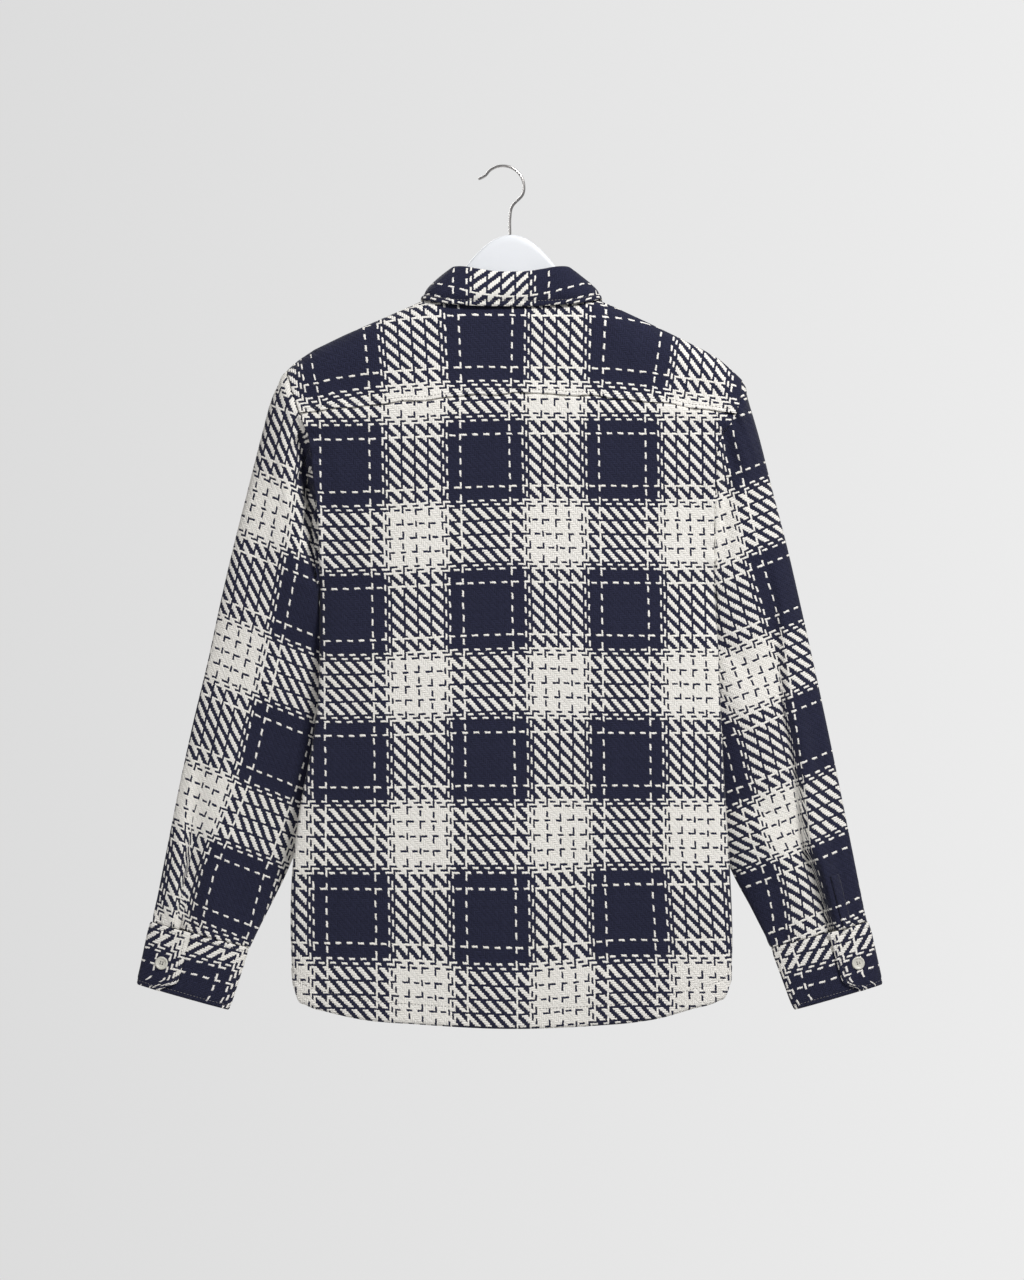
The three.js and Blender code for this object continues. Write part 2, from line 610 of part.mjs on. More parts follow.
// Hanger: a flat board with a dome in the neck and arms under the shoulders
const DOME = [
  { x: 84, z: -142 },
  { x: 76, z: -141.5 },
  { x: 67, z: -133 },
  { x: 57, z: -117.5 },
  { x: 47, z: -103.7 },
  { x: 34, z: -88.5 },
  { x: 18, z: -75.5 },
  { x: 0, z: -70.4 },
];
const ARM_TIP = 13; // the arms stop this far short of the shoulder tips
const HANGER_DROP = 2.7; // from the shoulder line to the arm below the cloth

function hangerOutline() {
  const shape = new THREE.Shape();
  const arm = yokeColumns
    .map((column) => column[5])
    .filter((p) => Math.abs(p.x) > 86 && Math.abs(p.x) < 232 - ARM_TIP)
    .map((p) => [p.x, p.z - HANGER_DROP]);
  const dome = [...DOME.map(({ x, z }) => [-x, z]), ...DOME.slice(0, -1).reverse().map(({ x, z }) => [x, z])];
  const top = [...arm.filter(([x]) => x < 0), ...dome, ...arm.filter(([x]) => x > 0)];
  const [left, right] = [top[0], top[top.length - 1]];
  shape.moveTo(left[0], left[1]);
  shape.quadraticCurveTo(left[0] - 10, left[1] - 10, left[0] + 1, left[1] - 24);
  shape.quadraticCurveTo(-90, -168, 0, -158);
  shape.quadraticCurveTo(90, -168, right[0] - 1, right[1] - 24);
  shape.quadraticCurveTo(right[0] + 10, right[1] - 10, right[0], right[1]);
  for (const [x, z] of top.slice(1, -1).reverse()) shape.lineTo(x, z);
  return shape;
}

const bevel = 4;
const board = new THREE.ExtrudeGeometry(hangerOutline(), {
  depth: HANGER_DEPTH - 2 * bevel,
  bevelThickness: bevel,
  bevelSize: bevel,
  bevelOffset: -bevel,
  bevelSegments: 2,
  curveSegments: 6,
})
  .rotateX(Math.PI / 2)
  .translate(0, HANGER_DEPTH / 2 - bevel, 0);
const STEM_X = -1;
const STEM_FOOT = -86;
const socket = new THREE.CylinderGeometry(WIRE_RADIUS + SEAM, WIRE_RADIUS + SEAM, 40, 12)
  .rotateX(Math.PI / 2)
  .translate(STEM_X, 0, STEM_FOOT - SEAM + 20);
add("hanger_body", cut(board, socket), hangerMaterial);

// Hook: a straight stem, a bend to the right, and an arc over the rail to a turned-out tip
function hookCurve() {
  const radius = 21.9;
  const centre = vec(-CENTRE_X, 0, WIRE_RADIUS - radius);
  const stem = [STEM_FOOT, -68, -53].map((z) => vec(STEM_X, 0, z));
  const arc = [-24, 2, 28, 54, 79, 104, 128, 148].map((angle) => {
    const a = degToRad(angle);
    return vec(centre.x + radius * Math.cos(a), 0, centre.z + radius * Math.sin(a));
  });
  return new THREE.CatmullRomCurve3([...stem, vec(1.5, 0, -40.6), ...arc, vec(-34, 0, -12.6)]);
}
const wire = new THREE.Shape().absarc(0, 0, WIRE_RADIUS, 0, 2 * Math.PI, false);
const hook = new THREE.ExtrudeGeometry(wire, { steps: 34, curveSegments: 4, extrudePath: hookCurve() });
add("hanger_hook", hook, wireMaterial);

const shacket = new THREE.Group();
shacket.add(garment);
export default shacket;
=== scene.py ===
# %% [markdown]
# # A check shacket on a hanger
# A shacket is an overshirt in heavy cloth. This one is a chunky cotton twill in a navy and cream check,
# seen from behind on a white hanger. The lesson builds each cut piece as its own curved sheet, then gives
# every sheet the same woven cloth, because that is how the real one is made: the check runs on the grain of
# each piece and breaks at each seam.

# %% Load the fixed frame
import math

import bmesh
import bpy
import numpy as np
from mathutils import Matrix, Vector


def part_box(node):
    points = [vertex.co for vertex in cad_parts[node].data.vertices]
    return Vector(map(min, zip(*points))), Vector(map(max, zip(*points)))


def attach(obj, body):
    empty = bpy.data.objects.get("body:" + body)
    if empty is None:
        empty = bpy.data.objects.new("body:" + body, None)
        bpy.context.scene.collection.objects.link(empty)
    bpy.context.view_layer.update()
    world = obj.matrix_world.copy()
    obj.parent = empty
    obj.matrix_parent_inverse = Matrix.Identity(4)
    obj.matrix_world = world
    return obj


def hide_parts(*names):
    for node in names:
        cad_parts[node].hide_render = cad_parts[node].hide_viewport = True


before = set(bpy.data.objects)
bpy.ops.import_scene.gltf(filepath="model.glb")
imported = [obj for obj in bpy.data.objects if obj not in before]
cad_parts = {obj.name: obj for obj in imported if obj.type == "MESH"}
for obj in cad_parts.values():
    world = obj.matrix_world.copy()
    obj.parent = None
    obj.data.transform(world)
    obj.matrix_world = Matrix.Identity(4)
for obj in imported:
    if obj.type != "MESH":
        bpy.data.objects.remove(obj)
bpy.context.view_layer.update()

# %% [markdown]
# ## Camera
# The photograph is taken straight on, from far away, so a long lens on a level camera gives its flat look.

# %% Camera
FRAME_HEIGHT = 1.331  # metres of the scene that fit the picture's long side
DISTANCE, SENSOR = 4.6, 36
MIDDLE_X, MIDDLE_Z = 0.0094, -0.4916  # where the picture's middle meets the garment
lens_camera = bpy.data.cameras.new("camera")
lens_camera.sensor_width = SENSOR
lens_camera.lens = SENSOR * DISTANCE / FRAME_HEIGHT
camera = bpy.data.objects.new("camera", lens_camera)
camera.location = (MIDDLE_X, -DISTANCE, MIDDLE_Z)
camera.rotation_euler = (math.pi / 2, 0, 0)
bpy.context.collection.objects.link(camera)
scene = bpy.context.scene
scene.camera = camera
scene.view_settings.view_transform = "Standard"
print("lens", round(lens_camera.lens, 1), "mm")

# %% [markdown]
# ## Colour and shader helpers
# Colours are written as the sRGB hex values a maker would read off a swatch, and one function turns them
# to the linear numbers that light is worked out in. One more function adds a shader node with its settings
# and links, so that each material below reads as a short list.


# %% Colour and node helpers
def linear(hex_colour):
    """Each sRGB channel above 0.04045 becomes ((c + 0.055) / 1.055) to the power 2.4, the rest c / 12.92."""
    channels = np.array([int(hex_colour[k : k + 2], 16) for k in (0, 2, 4)]) / 255
    bright = ((channels + 0.055) / 1.055) ** 2.4
    return (*np.where(channels > 0.04045, bright, channels / 12.92), 1.0)


def put(tree, kind, *inputs, **settings):
    """Adds a shader node. Settings are its own options or, with _ for a space, its sockets by name. Inputs
    fill its sockets in order: each is a value, an output, or a node whose first output feeds it."""
    made = tree.nodes.new("ShaderNode" + kind)
    options = [name for name in settings if hasattr(made, name)]
    for name in options:
        setattr(made, name, settings.pop(name))
    sockets = [socket for socket in made.inputs if socket.enabled]
    pairs = list(zip(sockets, inputs))
    pairs += [(made.inputs[name.replace("_", " ")], value) for name, value in settings.items()]
    for socket, value in pairs:
        if isinstance(value, bpy.types.Node):
            value = next(output for output in value.outputs if output.enabled)
        if isinstance(value, bpy.types.NodeSocket):
            tree.links.new(value, socket)
        else:
            socket.default_value = value
    return made


def new_material(name):
    """A material with an empty node tree."""
    made = bpy.data.materials.new(name)
    made.use_nodes = True
    made.node_tree.nodes.clear()
    return made


# %% [markdown]
# ## Studio
# A soft light from the upper right and a weaker one from the left model the folds, and a third one, beyond
# the garment, lights its front. To the camera the surroundings are a pale grey that brightens to the right.
# The surfaces feel them much darker, so that folds keep their shade, and darkest behind the camera, which
# puts a dark core in the wire.

# %% World
world = bpy.data.worlds.new("studio")
scene.world = world
world.use_nodes = True
studio = world.node_tree
studio.nodes.clear()
sides = put(studio, "SeparateXYZ", put(studio, "TexCoord").outputs["Generated"])
rightwards = put(studio, "MapRange", sides.outputs["X"], -0.15, 0.15)
seen = put(studio, "Mix", rightwards, linear("DADADA"), linear("EEEEEE"), data_type="RGBA")
forward = put(studio, "MapRange", sides.outputs["Y"], -0.9, 0.6)
felt = put(studio, "Mix", forward, (0.2, 0.2, 0.21, 1), (0.3, 0.3, 0.3, 1), data_type="RGBA")
to_camera = put(studio, "LightPath").outputs["Is Camera Ray"]
around = put(studio, "Mix", to_camera, felt, seen, data_type="RGBA")
put(studio, "OutputWorld", put(studio, "Background", around, 1.0))
print(len(studio.nodes), "nodes light the studio")

# %% Soft lights
LIGHTS = [
    {"name": "key", "place": (1.3, -1.8, 1.5), "size": 0.9, "watts": 84},
    {"name": "fill", "place": (-2.2, -2.2, -0.2), "size": 1.8, "watts": 14},
    {"name": "rear", "place": (-1.2, 2.6, 0.9), "size": 1.6, "watts": 45},
]
AIM_DROP = 0.5  # the lights look at a point this far under the hook
for row in LIGHTS:
    lamp = bpy.data.lights.new(row["name"], "AREA")
    lamp.size = row["size"]
    lamp.energy = row["watts"]
    placed = bpy.data.objects.new(row["name"], lamp)
    placed.location = row["place"]
    away = placed.location.copy()
    away.z += AIM_DROP
    placed.rotation_euler = away.to_track_quat("Z", "Y").to_euler()
    bpy.context.collection.objects.link(placed)
print(len(LIGHTS), "lights")

# %% Floor
FLOOR_Z, FLOOR_RADIUS, FLOOR_SIDES = -1.6, 1.45, 96
floor_mesh = bpy.data.meshes.new("floor")
turn = np.linspace(0, 2 * math.pi, FLOOR_SIDES, endpoint=False)
rim = np.stack([FLOOR_RADIUS * np.cos(turn), FLOOR_RADIUS * np.sin(turn), FLOOR_Z + 0 * turn], axis=1)
floor_mesh.from_pydata(rim.tolist(), [], [list(range(FLOOR_SIDES))])
floor = bpy.data.objects.new("floor", floor_mesh)
bpy.context.collection.objects.link(floor)
paper = new_material("studio_paper_matt")
paper_shader = put(paper.node_tree, "BsdfPrincipled", linear("E4E4E4"), Roughness=0.9)
put(paper.node_tree, "OutputMaterial", paper_shader)
floor_mesh.materials.append(paper)
print("floor radius", FLOOR_RADIUS, "m")

# %% [markdown]
# ## The shape of the garment, in numbers
# A cutter would draft each piece flat. Here each piece is drafted as it hangs: short tables give where the
# shoulder line, side seams, hem and sleeve edges lie at a few places, and a smooth curve runs through them.
# The numbers are millimetres in the garment's own frame, whose middle hangs a little to the right of the
# hook. They are the same as the frame's solids, so every sheet lies on its solid.

# %% Sizes and curves
MM = 0.001
BOTH_SIDES = ((-1, "left"), (1, "right"))
CENTRE_X = 8.3  # the garment's middle, right of the hook's top
SEAM = 0.15  # half of the slit between two sewn pieces
UNDERARM_Z, OPEN_Z, ARMHOLE_HALF = -435.0, -300.0, 17.0
NECK_HALF, NECK_Z, NECK_DROP = 80.0, -134.0, 78.0
YOKE_FRONT_DROP = 30.0
BAND_HALF = 16.0
TIP_LEFT, TIP_RIGHT = 233.0, 240.0


def follow(at, keys, values):
    """A smooth curve through a table: each step is a cubic that leaves and arrives at its rows' slopes."""
    keys, values = np.asarray(keys, float), np.asarray(values, float)
    slopes = np.gradient(values, keys)
    at = np.clip(at, keys[0], keys[-1])
    k = np.clip(np.searchsorted(keys, at) - 1, 0, len(keys) - 2)
    gap = keys[k + 1] - keys[k]
    t = (at - keys[k]) / gap
    start = (2 * t**3 - 3 * t**2 + 1) * values[k] + (t**3 - 2 * t**2 + t) * gap * slopes[k]
    return start + (3 * t**2 - 2 * t**3) * values[k + 1] + (t**3 - t**2) * gap * slopes[k + 1]


def ease(at, low, high):
    """0 below low, 1 above high, and 3t^2 - 2t^3 between."""
    t = np.clip((at - low) / (high - low), 0, 1)
    return t * t * (3 - 2 * t)


def unit(steps):
    """Each vector over its length."""
    return steps / np.linalg.norm(steps, axis=-1, keepdims=True)


def turns(count):
    """Angles that divide a full turn evenly."""
    return np.linspace(0, 2 * np.pi, count, endpoint=False)


def crowded(t, straight):
    """Steps from -1 to 1 that crowd towards the ends: a straight line blended with a quarter sine."""
    return straight * t + (1 - straight) * np.sin(t * np.pi / 2)


def bell(off, width):
    """A bell curve: e to the power -(off / width)^2."""
    return np.exp(-((off / width) ** 2))


# %% Tables of the body
# How far down each row lies (down is -z), and x of the armhole or side seam there
SIDES = {
    "down": [212, 222, 240, 262, 276, 290, 324, 346, 408, 435, 512, 554, 596, 668, 731, 836, 850],
    "left": [233, 230, 225, 217, 212, 208, 205, 202, 199, 199, 199, 200.5, 206, 219.5, 227, 227, 226],
    "right": [
        240, 240, 238, 231, 221, 215, 212.5, 211.5, 211, 212, 216, 217.5, 219.5, 223.5, 227.5, 229, 228,
    ],
}
RIDGE = {
    "x": [-233, -219, -204, -173, -141, -110, -80, 80, 108, 139, 171, 202, 217, 233, 240],
    "z": [-212, -200, -190, -175, -161, -147.5, -134, -134, -146, -160.5, -176, -191.5, -200.5, -214.5, -222],
}
HEM = {
    "across": [-1, -0.98, -0.94, -0.83, -0.7, -0.42, 0, 0.4, 0.54, 0.68, 0.82, 0.94, 0.98, 1],
    "z": [-851, -864, -870, -877.5, -884, -889.5, -894, -890.5, -888, -883, -874, -866, -860, -848],
}
YOKE_SEAM = {"across": [-1, -0.6, 0.08, 0.65, 1], "z": [-256, -247, -236, -246, -257]}
# How far the yoke's check hangs lower than on its straight middle
YOKE_DROOP = {
    "x": [-233, -209, -185, -160, -138, -65, -37, 14, 115, 128, 140, 152, 200, 240],
    "mm": [20, 16.5, 11.4, 8, 6, 1, 0, 0.6, 3.1, 4.2, 5.4, 7.2, 14, 19],
}
# The yoke's arch over the hanger, from back to front: how far below the shoulder line, and y
ARCH = {"drop": [24, 11, 4, 0, 0, 4, 11, 20, 30], "y": [-16.5, -13, -8.5, -3.2, 3.2, 8.5, 13, 15.6, 17]}


def ridge_z(x):
    """Height of the shoulder line, straight between its rows so that the neck's corners stay crisp."""
    return np.interp(x, RIDGE["x"], RIDGE["z"])


def edge_x(across, z):
    """x of a line that keeps its share of the way from the middle (0) to the side (-1 or 1)."""
    left = follow(-z, SIDES["down"], SIDES["left"])
    right = follow(-z, SIDES["down"], SIDES["right"])
    return across * np.where(across < 0, left, right)


def mid_y(z):
    """The middle plane between back and front: it leans back a little below the underarm."""
    return -8 * ease(-z, -UNDERARM_Z, 520)


def open_y(z):
    """Half the armhole's depth: constant, then a quarter ellipse that closes at the underarm."""
    t = np.clip((OPEN_Z - z) / (OPEN_Z - UNDERARM_Z), 0, 1)
    return ARMHOLE_HALF * np.sqrt(1 - t**2)


def bulge(across, z, deep, power):
    """Depth from the middle plane: a lens (1 - u^2)^power below, blending to 1 - |u|^3 at the armholes."""
    opened = open_y(z)
    lens = np.clip(1 - across**2, 0, 1) ** power
    flat = 1 - np.abs(across) ** 3
    share = opened / ARMHOLE_HALF
    return opened + (deep - opened) * (lens + (flat - lens) * share)


# %% [markdown]
# ## Creases
# Cloth that hangs still has a few soft folds, and they are not random: they start where it is held, at the
# armholes and the shoulders, and die out in the open cloth. A simulation could find them, but then nobody
# chooses where they fall. Here each crease is one row of a table: a line, a bow, a width and a rise, where a
# negative rise is a trough.

# %% Relief of creases and seams


def relief(x, z, creases):
    """Sum of creases: a bell curve across each line, steeper on one side, times a half sine along it."""
    total = np.zeros(np.broadcast(x, z).shape)
    for x0, z0, x1, z1, bow, wide, rise in creases:
        dx, dz = x1 - x0, z1 - z0
        length = math.hypot(dx, dz)
        along = np.clip(((x - x0) * dx + (z - z0) * dz) / length**2, 0, 1)
        off = ((x - x0) * dz - (z - z0) * dx) / length
        off = (off - bow * np.sin(np.pi * along)) / wide
        off = off * (1 + 0.3 * np.tanh(off))
        total += rise * np.exp(-(off**2)) * np.sin(np.pi * along) ** 0.8
    return total


def pucker(along, away, reach, height, phase=0.0):
    """Short uneven ripples that cross a seam: three sines along it, fading with distance from it."""
    ripple = np.sin(along / 3.1 + phase) + 0.7 * np.sin(along / 4.7 + 2 * phase) + 0.5 * np.sin(along / 7.3)
    return height * ripple * bell(away, reach)


def sewn_edge(inside, row, wide, deep, rolled, reach):
    """Relief of a sewn edge: a bell-shaped groove under the stitch row, and a roll inwards at the edge."""
    return -deep * bell(inside - row, wide) - rolled * (1 - ease(inside, 0, reach))


# %% Creases of the body
# x0, z0, x1, z1, bow, wide, rise
BACK_CREASES = [
    (-196, -300, -172, -455, 4, 15, -3.0),
    (-180, -290, -158, -420, 3, 9, 1.6),
    (-204, -345, -150, -395, -6, 7, -1.3),
    (205, -300, 168, -420, -5, 14, -2.6),
    (190, -272, 150, -372, -4, 8, 1.5),
    (214, -262, 158, -300, 5, 6, -1.7),
    (212, -282, 170, -340, 4, 5, 1.2),
    (206, -330, 176, -470, -6, 8, -1.4),
    (-120, -470, -150, -800, 8, 34, 2.2),
    (40, -520, 62, -850, -7, 40, -2.0),
    (150, -560, 170, -860, 6, 30, 2.0),
    (-62, -300, -44, -560, 6, 30, -1.3),
    (92, -330, 104, -610, -8, 26, 1.3),
    (-176, -520, -190, -830, -5, 13, -1.8),
    (196, -500, 204, -790, 5, 12, -1.6),
    (-8, -610, -22, -880, 6, 24, 1.3),
    (-88, -700, -96, -880, -4, 18, -1.2),
    (112, -760, 118, -880, 3, 16, -1.1),
]
YOKE_CREASES = [
    (-190, -214, -150, -250, 3, 9, -1.3),
    (-96, -160, -150, -246, 7, 13, 1.2),
    (-60, -168, -78, -240, -3, 12, -0.9),
    (98, -162, 156, -246, -6, 13, 1.3),
    (196, -220, 158, -252, -4, 8, -1.4),
    (28, -170, 42, -238, 3, 14, -0.8),
]
FRONT_CREASES = [
    (-198, -300, -150, -470, 6, 15, -3.0),
    (-186, -286, -128, -400, 5, 9, 1.6),
    (204, -300, 160, -450, -6, 15, -2.8),
    (192, -280, 134, -410, -5, 9, 1.7),
    (-96, -300, -118, -640, 8, 24, -2.0),
    (-150, -500, -164, -840, -7, 26, 2.4),
    (104, -330, 96, -690, -9, 26, 2.0),
    (158, -520, 172, -850, 6, 22, -2.2),
    (-52, -560, -60, -870, 5, 20, 1.5),
    (56, -600, 64, -880, -6, 22, -1.6),
]
print(len(BACK_CREASES) + len(YOKE_CREASES) + len(FRONT_CREASES), "creases on the body")

# %% [markdown]
# ## From a grid to a piece of cloth
# A sheet is a grid of points with the cloth's grain on it. The grain is a second pair of numbers at each
# point: how far right and how far down that place was on the flat cloth before it was cut, in metres. It
# goes into the mesh as a UV map, and the weave is drawn from it, so warp and weft follow every bend. The
# wall comes from a Solidify modifier that grows inwards, so the outside stays where it was worked out.

# %% Grid tools


def curve_rows(control, at):
    """Points at fractional rows of a grid, each column on a Catmull-Rom curve through its rows."""
    last = len(control) - 1
    k = np.clip(np.floor(at).astype(int), 0, last - 1)
    t = (at - k)[:, None, None]
    a, b = control[np.clip(k - 1, 0, last)], control[k]
    c, d = control[k + 1], control[np.clip(k + 2, 0, last)]
    return b + 0.5 * t * (c - a + t * (2 * a - 5 * b + 4 * c - d + t * (3 * (b - c) + d - a)))


def outward(points):
    """Unit normals of a grid: the cross product of its step down and its step right."""
    normal = np.cross(np.gradient(points, axis=0), np.gradient(points, axis=1))
    return normal / np.maximum(np.linalg.norm(normal, axis=-1, keepdims=True), 1e-9)


def run(points, axis):
    """Distance travelled along a grid's rows or columns, starting from 0."""
    steps = np.linalg.norm(np.diff(points, axis=axis), axis=-1)
    start = np.zeros_like(np.take(steps, [0], axis=axis))
    return np.concatenate([start, np.cumsum(steps, axis=axis)], axis=axis)


def cells(rows, columns, closed=False):
    """Corner numbers of every cell of a grid, in the turn that faces outwards when rows run down and
    columns run right."""
    index = np.arange(rows * columns).reshape(rows, columns)
    if closed:
        index = np.hstack([index, index[:, :1]])
    corners = [index[:-1, :-1], index[1:, :-1], index[1:, 1:], index[:-1, 1:]]
    return np.stack(corners, axis=-1).reshape(-1, 4)


# %% Mesh pieces and cloth
def mesh_piece(name, points, faces, material, replaced=(), poles=False):
    """A mesh object from points in millimetres in the garment's frame and four-cornered faces. With poles,
    the rows that shrink to one place are merged there, which closes the mesh."""
    used, faces = np.unique(faces, return_inverse=True)
    faces = faces.reshape(-1, 4)
    placed = (points.reshape(-1, 3)[used] + (CENTRE_X, 0, 0)) * MM
    mesh = bpy.data.meshes.new(name)
    mesh.vertices.add(len(placed))
    mesh.vertices.foreach_set("co", placed.ravel())
    mesh.loops.add(faces.size)
    mesh.loops.foreach_set("vertex_index", faces.ravel())
    mesh.polygons.add(len(faces))
    mesh.polygons.foreach_set("loop_start", np.arange(0, faces.size, 4))
    mesh.polygons.foreach_set("use_smooth", np.ones(len(faces), bool))
    mesh.update(calc_edges=True)
    if poles:
        merged = bmesh.new()
        merged.from_mesh(mesh)
        bmesh.ops.remove_doubles(merged, verts=merged.verts, dist=1e-7)
        merged.to_mesh(mesh)
        merged.free()
    mesh.materials.append(material)
    piece = bpy.data.objects.new(name, mesh)
    bpy.context.collection.objects.link(piece)
    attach(piece, "root")
    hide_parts(*replaced)
    return piece


def cloth(name, points, grain, closed=False, keep=None, wall=1.8, replaced=()):
    """A sheet of the check: a grid of points, its grain in millimetres, and a wall grown inwards."""
    rows, columns = points.shape[:2]
    faces = cells(rows, columns, closed)
    corners = cells(rows, grain.shape[1])
    if keep is not None:
        faces, corners = faces[keep.ravel()], corners[keep.ravel()]
    piece = mesh_piece(name, points, faces, twill, replaced)
    grain_map = piece.data.uv_layers.new(name="grain")
    grain_map.data.foreach_set("uv", (grain.reshape(-1, 2)[corners] * MM).ravel())
    shell = piece.modifiers.new("wall", "SOLIDIFY")
    shell.thickness = wall * MM
    shell.offset = -1
    corner = points.reshape(-1, 3)[faces]
    crossed = np.cross(corner[:, 2] - corner[:, 0], corner[:, 3] - corner[:, 1])
    area = np.linalg.norm(crossed, axis=1).sum() / 2
    size = [round(float(run(points, axis).max())) for axis in (1, 0)]
    print(name, len(faces), "cells,", *size, "mm, share of that box", round(area / size[0] / size[1], 2))


# %% [markdown]
# ## The cloth
# The cloth is a three-and-three twill in thick cotton: each thread passes over three and under three, and the
# next one starts a step later, which draws the diagonal. Warp and weft carry the same order of navy and cream
# threads, 74 to a repeat, so the check and its thin lines are simply what the crossings give. An image could
# show that, but a rule can be read: count threads right and down, see which one is on top, take its colour.
# The threads are about 2 mm apart, thick enough to show as single yarns.

# %% Heavy cotton twill, yarn-dyed and slightly brushed: matt, round yarns, with shade painted into the gaps
WARP_PITCH, WEFT_PITCH, REPEAT = 1.96, 2.087, 74
FLOAT_LEAN = 0.68  # how far a float's ends are dragged along the diagonal: 0 is square, 1 a straight line
# First cream thread of each run in a repeat, and the first navy one after it
CREAM_RUNS = [(1, 2), (3, 9), (10, 16), (17, 23), (24, 30), (31, 32), (33, 34), (40, 41), (66, 67), (73, 74)]

twill = new_material("cotton_twill_navy_cream")
weave = twill.node_tree
grain_uv = put(weave, "UVMap", uv_map="grain")
PER_METRE = (1000 / WARP_PITCH, 1000 / WEFT_PITCH, 0)
counted = put(weave, "VectorMath", grain_uv, PER_METRE, operation="MULTIPLY")
place = counted
for scale in (55.0, 620.0):  # the slow wander of the threads, then the hairs along their sides
    noise = put(weave, "TexNoise", grain_uv, Scale=scale, Detail=2.0)
    centred = put(weave, "VectorMath", noise.outputs["Color"], (0.5, 0.5, 0.5), operation="SUBTRACT")
    place = put(weave, "VectorMath", centred, (0.9, 0.9, 0), place, operation="MULTIPLY_ADD")
threads = put(weave, "SeparateXYZ", place)

# %% Which thread is on top, and its colour
number, within, dyed = {}, {}, {}
for thread, axis in (("warp", "X"), ("weft", "Y")):
    number[thread] = put(weave, "Math", threads.outputs[axis], operation="FLOOR")
    within[thread] = put(weave, "Math", threads.outputs[axis], operation="FRACT")
    in_repeat = put(weave, "Math", number[thread], REPEAT, operation="FLOORED_MODULO")
    middle_of_thread = put(weave, "Math", in_repeat, 0.5, operation="ADD")
    order = put(weave, "ValToRGB", put(weave, "Math", middle_of_thread, REPEAT, operation="DIVIDE"))
    order.color_ramp.interpolation = "CONSTANT"
    stops = order.color_ramp.elements
    stops.remove(stops[1])
    stops[0].position, stops[0].color = 0, (0, 0, 0, 1)
    for first, after in CREAM_RUNS:
        stops.new(first / REPEAT).color = (1, 1, 1, 1)
        if after < REPEAT:
            stops.new(after / REPEAT).color = (0, 0, 0, 1)
    dyed[thread] = order.outputs["Color"]
apart = put(weave, "Math", number["warp"], number["weft"], operation="SUBTRACT")
slant = put(weave, "Math", within["warp"], within["weft"], operation="SUBTRACT")
leaning = put(weave, "Math", slant, FLOAT_LEAN, apart, operation="MULTIPLY_ADD")
turned = put(weave, "Math", put(weave, "Math", leaning, 0.5, operation="ADD"), 6, operation="FLOORED_MODULO")
step = put(weave, "Math", turned, 0.5, operation="SUBTRACT")
warp_up = put(weave, "Math", step, 2.5, operation="LESS_THAN")
cream = put(weave, "Mix", warp_up, dyed["weft"], dyed["warp"])

# %% The yarn's round back: across it a half sine, and along each float a longer one that dips at both ends
across_yarn = put(weave, "Mix", warp_up, within["weft"], within["warp"])
from_turn = put(weave, "Math", put(weave, "Math", step, 2.5, operation="SUBTRACT"), operation="ABSOLUTE")
along_float = put(weave, "Math", from_turn, 3, operation="DIVIDE")
waves = []
for share, power in ((across_yarn, 0.7), (along_float, 0.45)):
    half_turn = put(weave, "Math", share, math.pi, operation="MULTIPLY")
    hump = put(weave, "Math", half_turn, operation="SINE")
    waves.append(put(weave, "Math", hump, power, operation="POWER"))
height = put(weave, "Math", *waves, operation="MULTIPLY")
fuzz = put(weave, "TexNoise", counted, Scale=1.7, Detail=3.0)
PLY_TURNS = 9 * 2 * math.pi  # the plies wind nine times along a float
sideways = put(weave, "Math", across_yarn, 10, operation="MULTIPLY")
ply = put(weave, "Math", along_float, PLY_TURNS, sideways, operation="MULTIPLY_ADD")
ply_wave = put(weave, "Math", ply, operation="SINE")
twisted = put(weave, "Math", ply_wave, 0.03, height, operation="MULTIPLY_ADD")
surface = put(weave, "Math", fuzz, 0.25, twisted, operation="MULTIPLY_ADD")

# %% Each yarn's own shade of colour, the shade painted into the gaps between yarns, and the shader
thread_number = put(weave, "Mix", warp_up, number["weft"], number["warp"])
lot = put(weave, "TexWhiteNoise", thread_number, noise_dimensions="1D").outputs["Value"]
own_shade = put(weave, "Math", lot, 0.4, operation="MULTIPLY")
mottle = put(weave, "Math", fuzz, 0.6, own_shade, operation="MULTIPLY_ADD")
navy = put(weave, "Mix", mottle, linear("292B43"), linear("1C1E34"), data_type="RGBA")
ecru = put(weave, "Mix", mottle, linear("FBF8F2"), linear("F2EEE5"), data_type="RGBA")
yarn = put(weave, "Mix", cream, navy, ecru, data_type="RGBA")
# Painted shade: the colour darkens where the yarn's back falls away into the gaps, to 0.52 of itself on navy
# and 0.8 on cream
painted_gap_shade_floor = put(weave, "Mix", cream, 0.52, 0.8)
gap = put(weave, "MapRange", height, 0.05, 0.6, painted_gap_shade_floor, 1.0)
yarn_with_painted_gap_shade = put(weave, "VectorMath", yarn, Scale=gap, operation="SCALE")
yarn_relief = put(weave, "Bump", Strength=0.75, Distance=0.0007, Height=surface)
cotton = put(
    weave, "BsdfPrincipled", yarn_with_painted_gap_shade, Normal=yarn_relief, Roughness=0.92, Specular_IOR_Level=0.25,
    Sheen_Weight=0.12, Sheen_Roughness=0.45,
)
put(weave, "OutputMaterial", cotton)
print(len(weave.nodes), "nodes weave the check")

# %% [markdown]
# ## The back
# One panel from the yoke seam to the curved hem. On the table it is nearly a rectangle with two armholes cut
# out of it. It could be a flat plane pushed about, but it hangs as a shallow lens that closes at the side
# seams, so each point is worked out from how far across and how far down it lies. The hem is turned up, so
# the last 21 mm are a little thicker, and the row of stitches that holds it sinks into the cloth.

# %% Columns that crowd towards the side seams
COLUMNS, BACK_ROWS = 150, 205
HEM_TURN = 21.0
BODY_ACROSS = crowded(np.linspace(-1, 1, COLUMNS), 0.45)


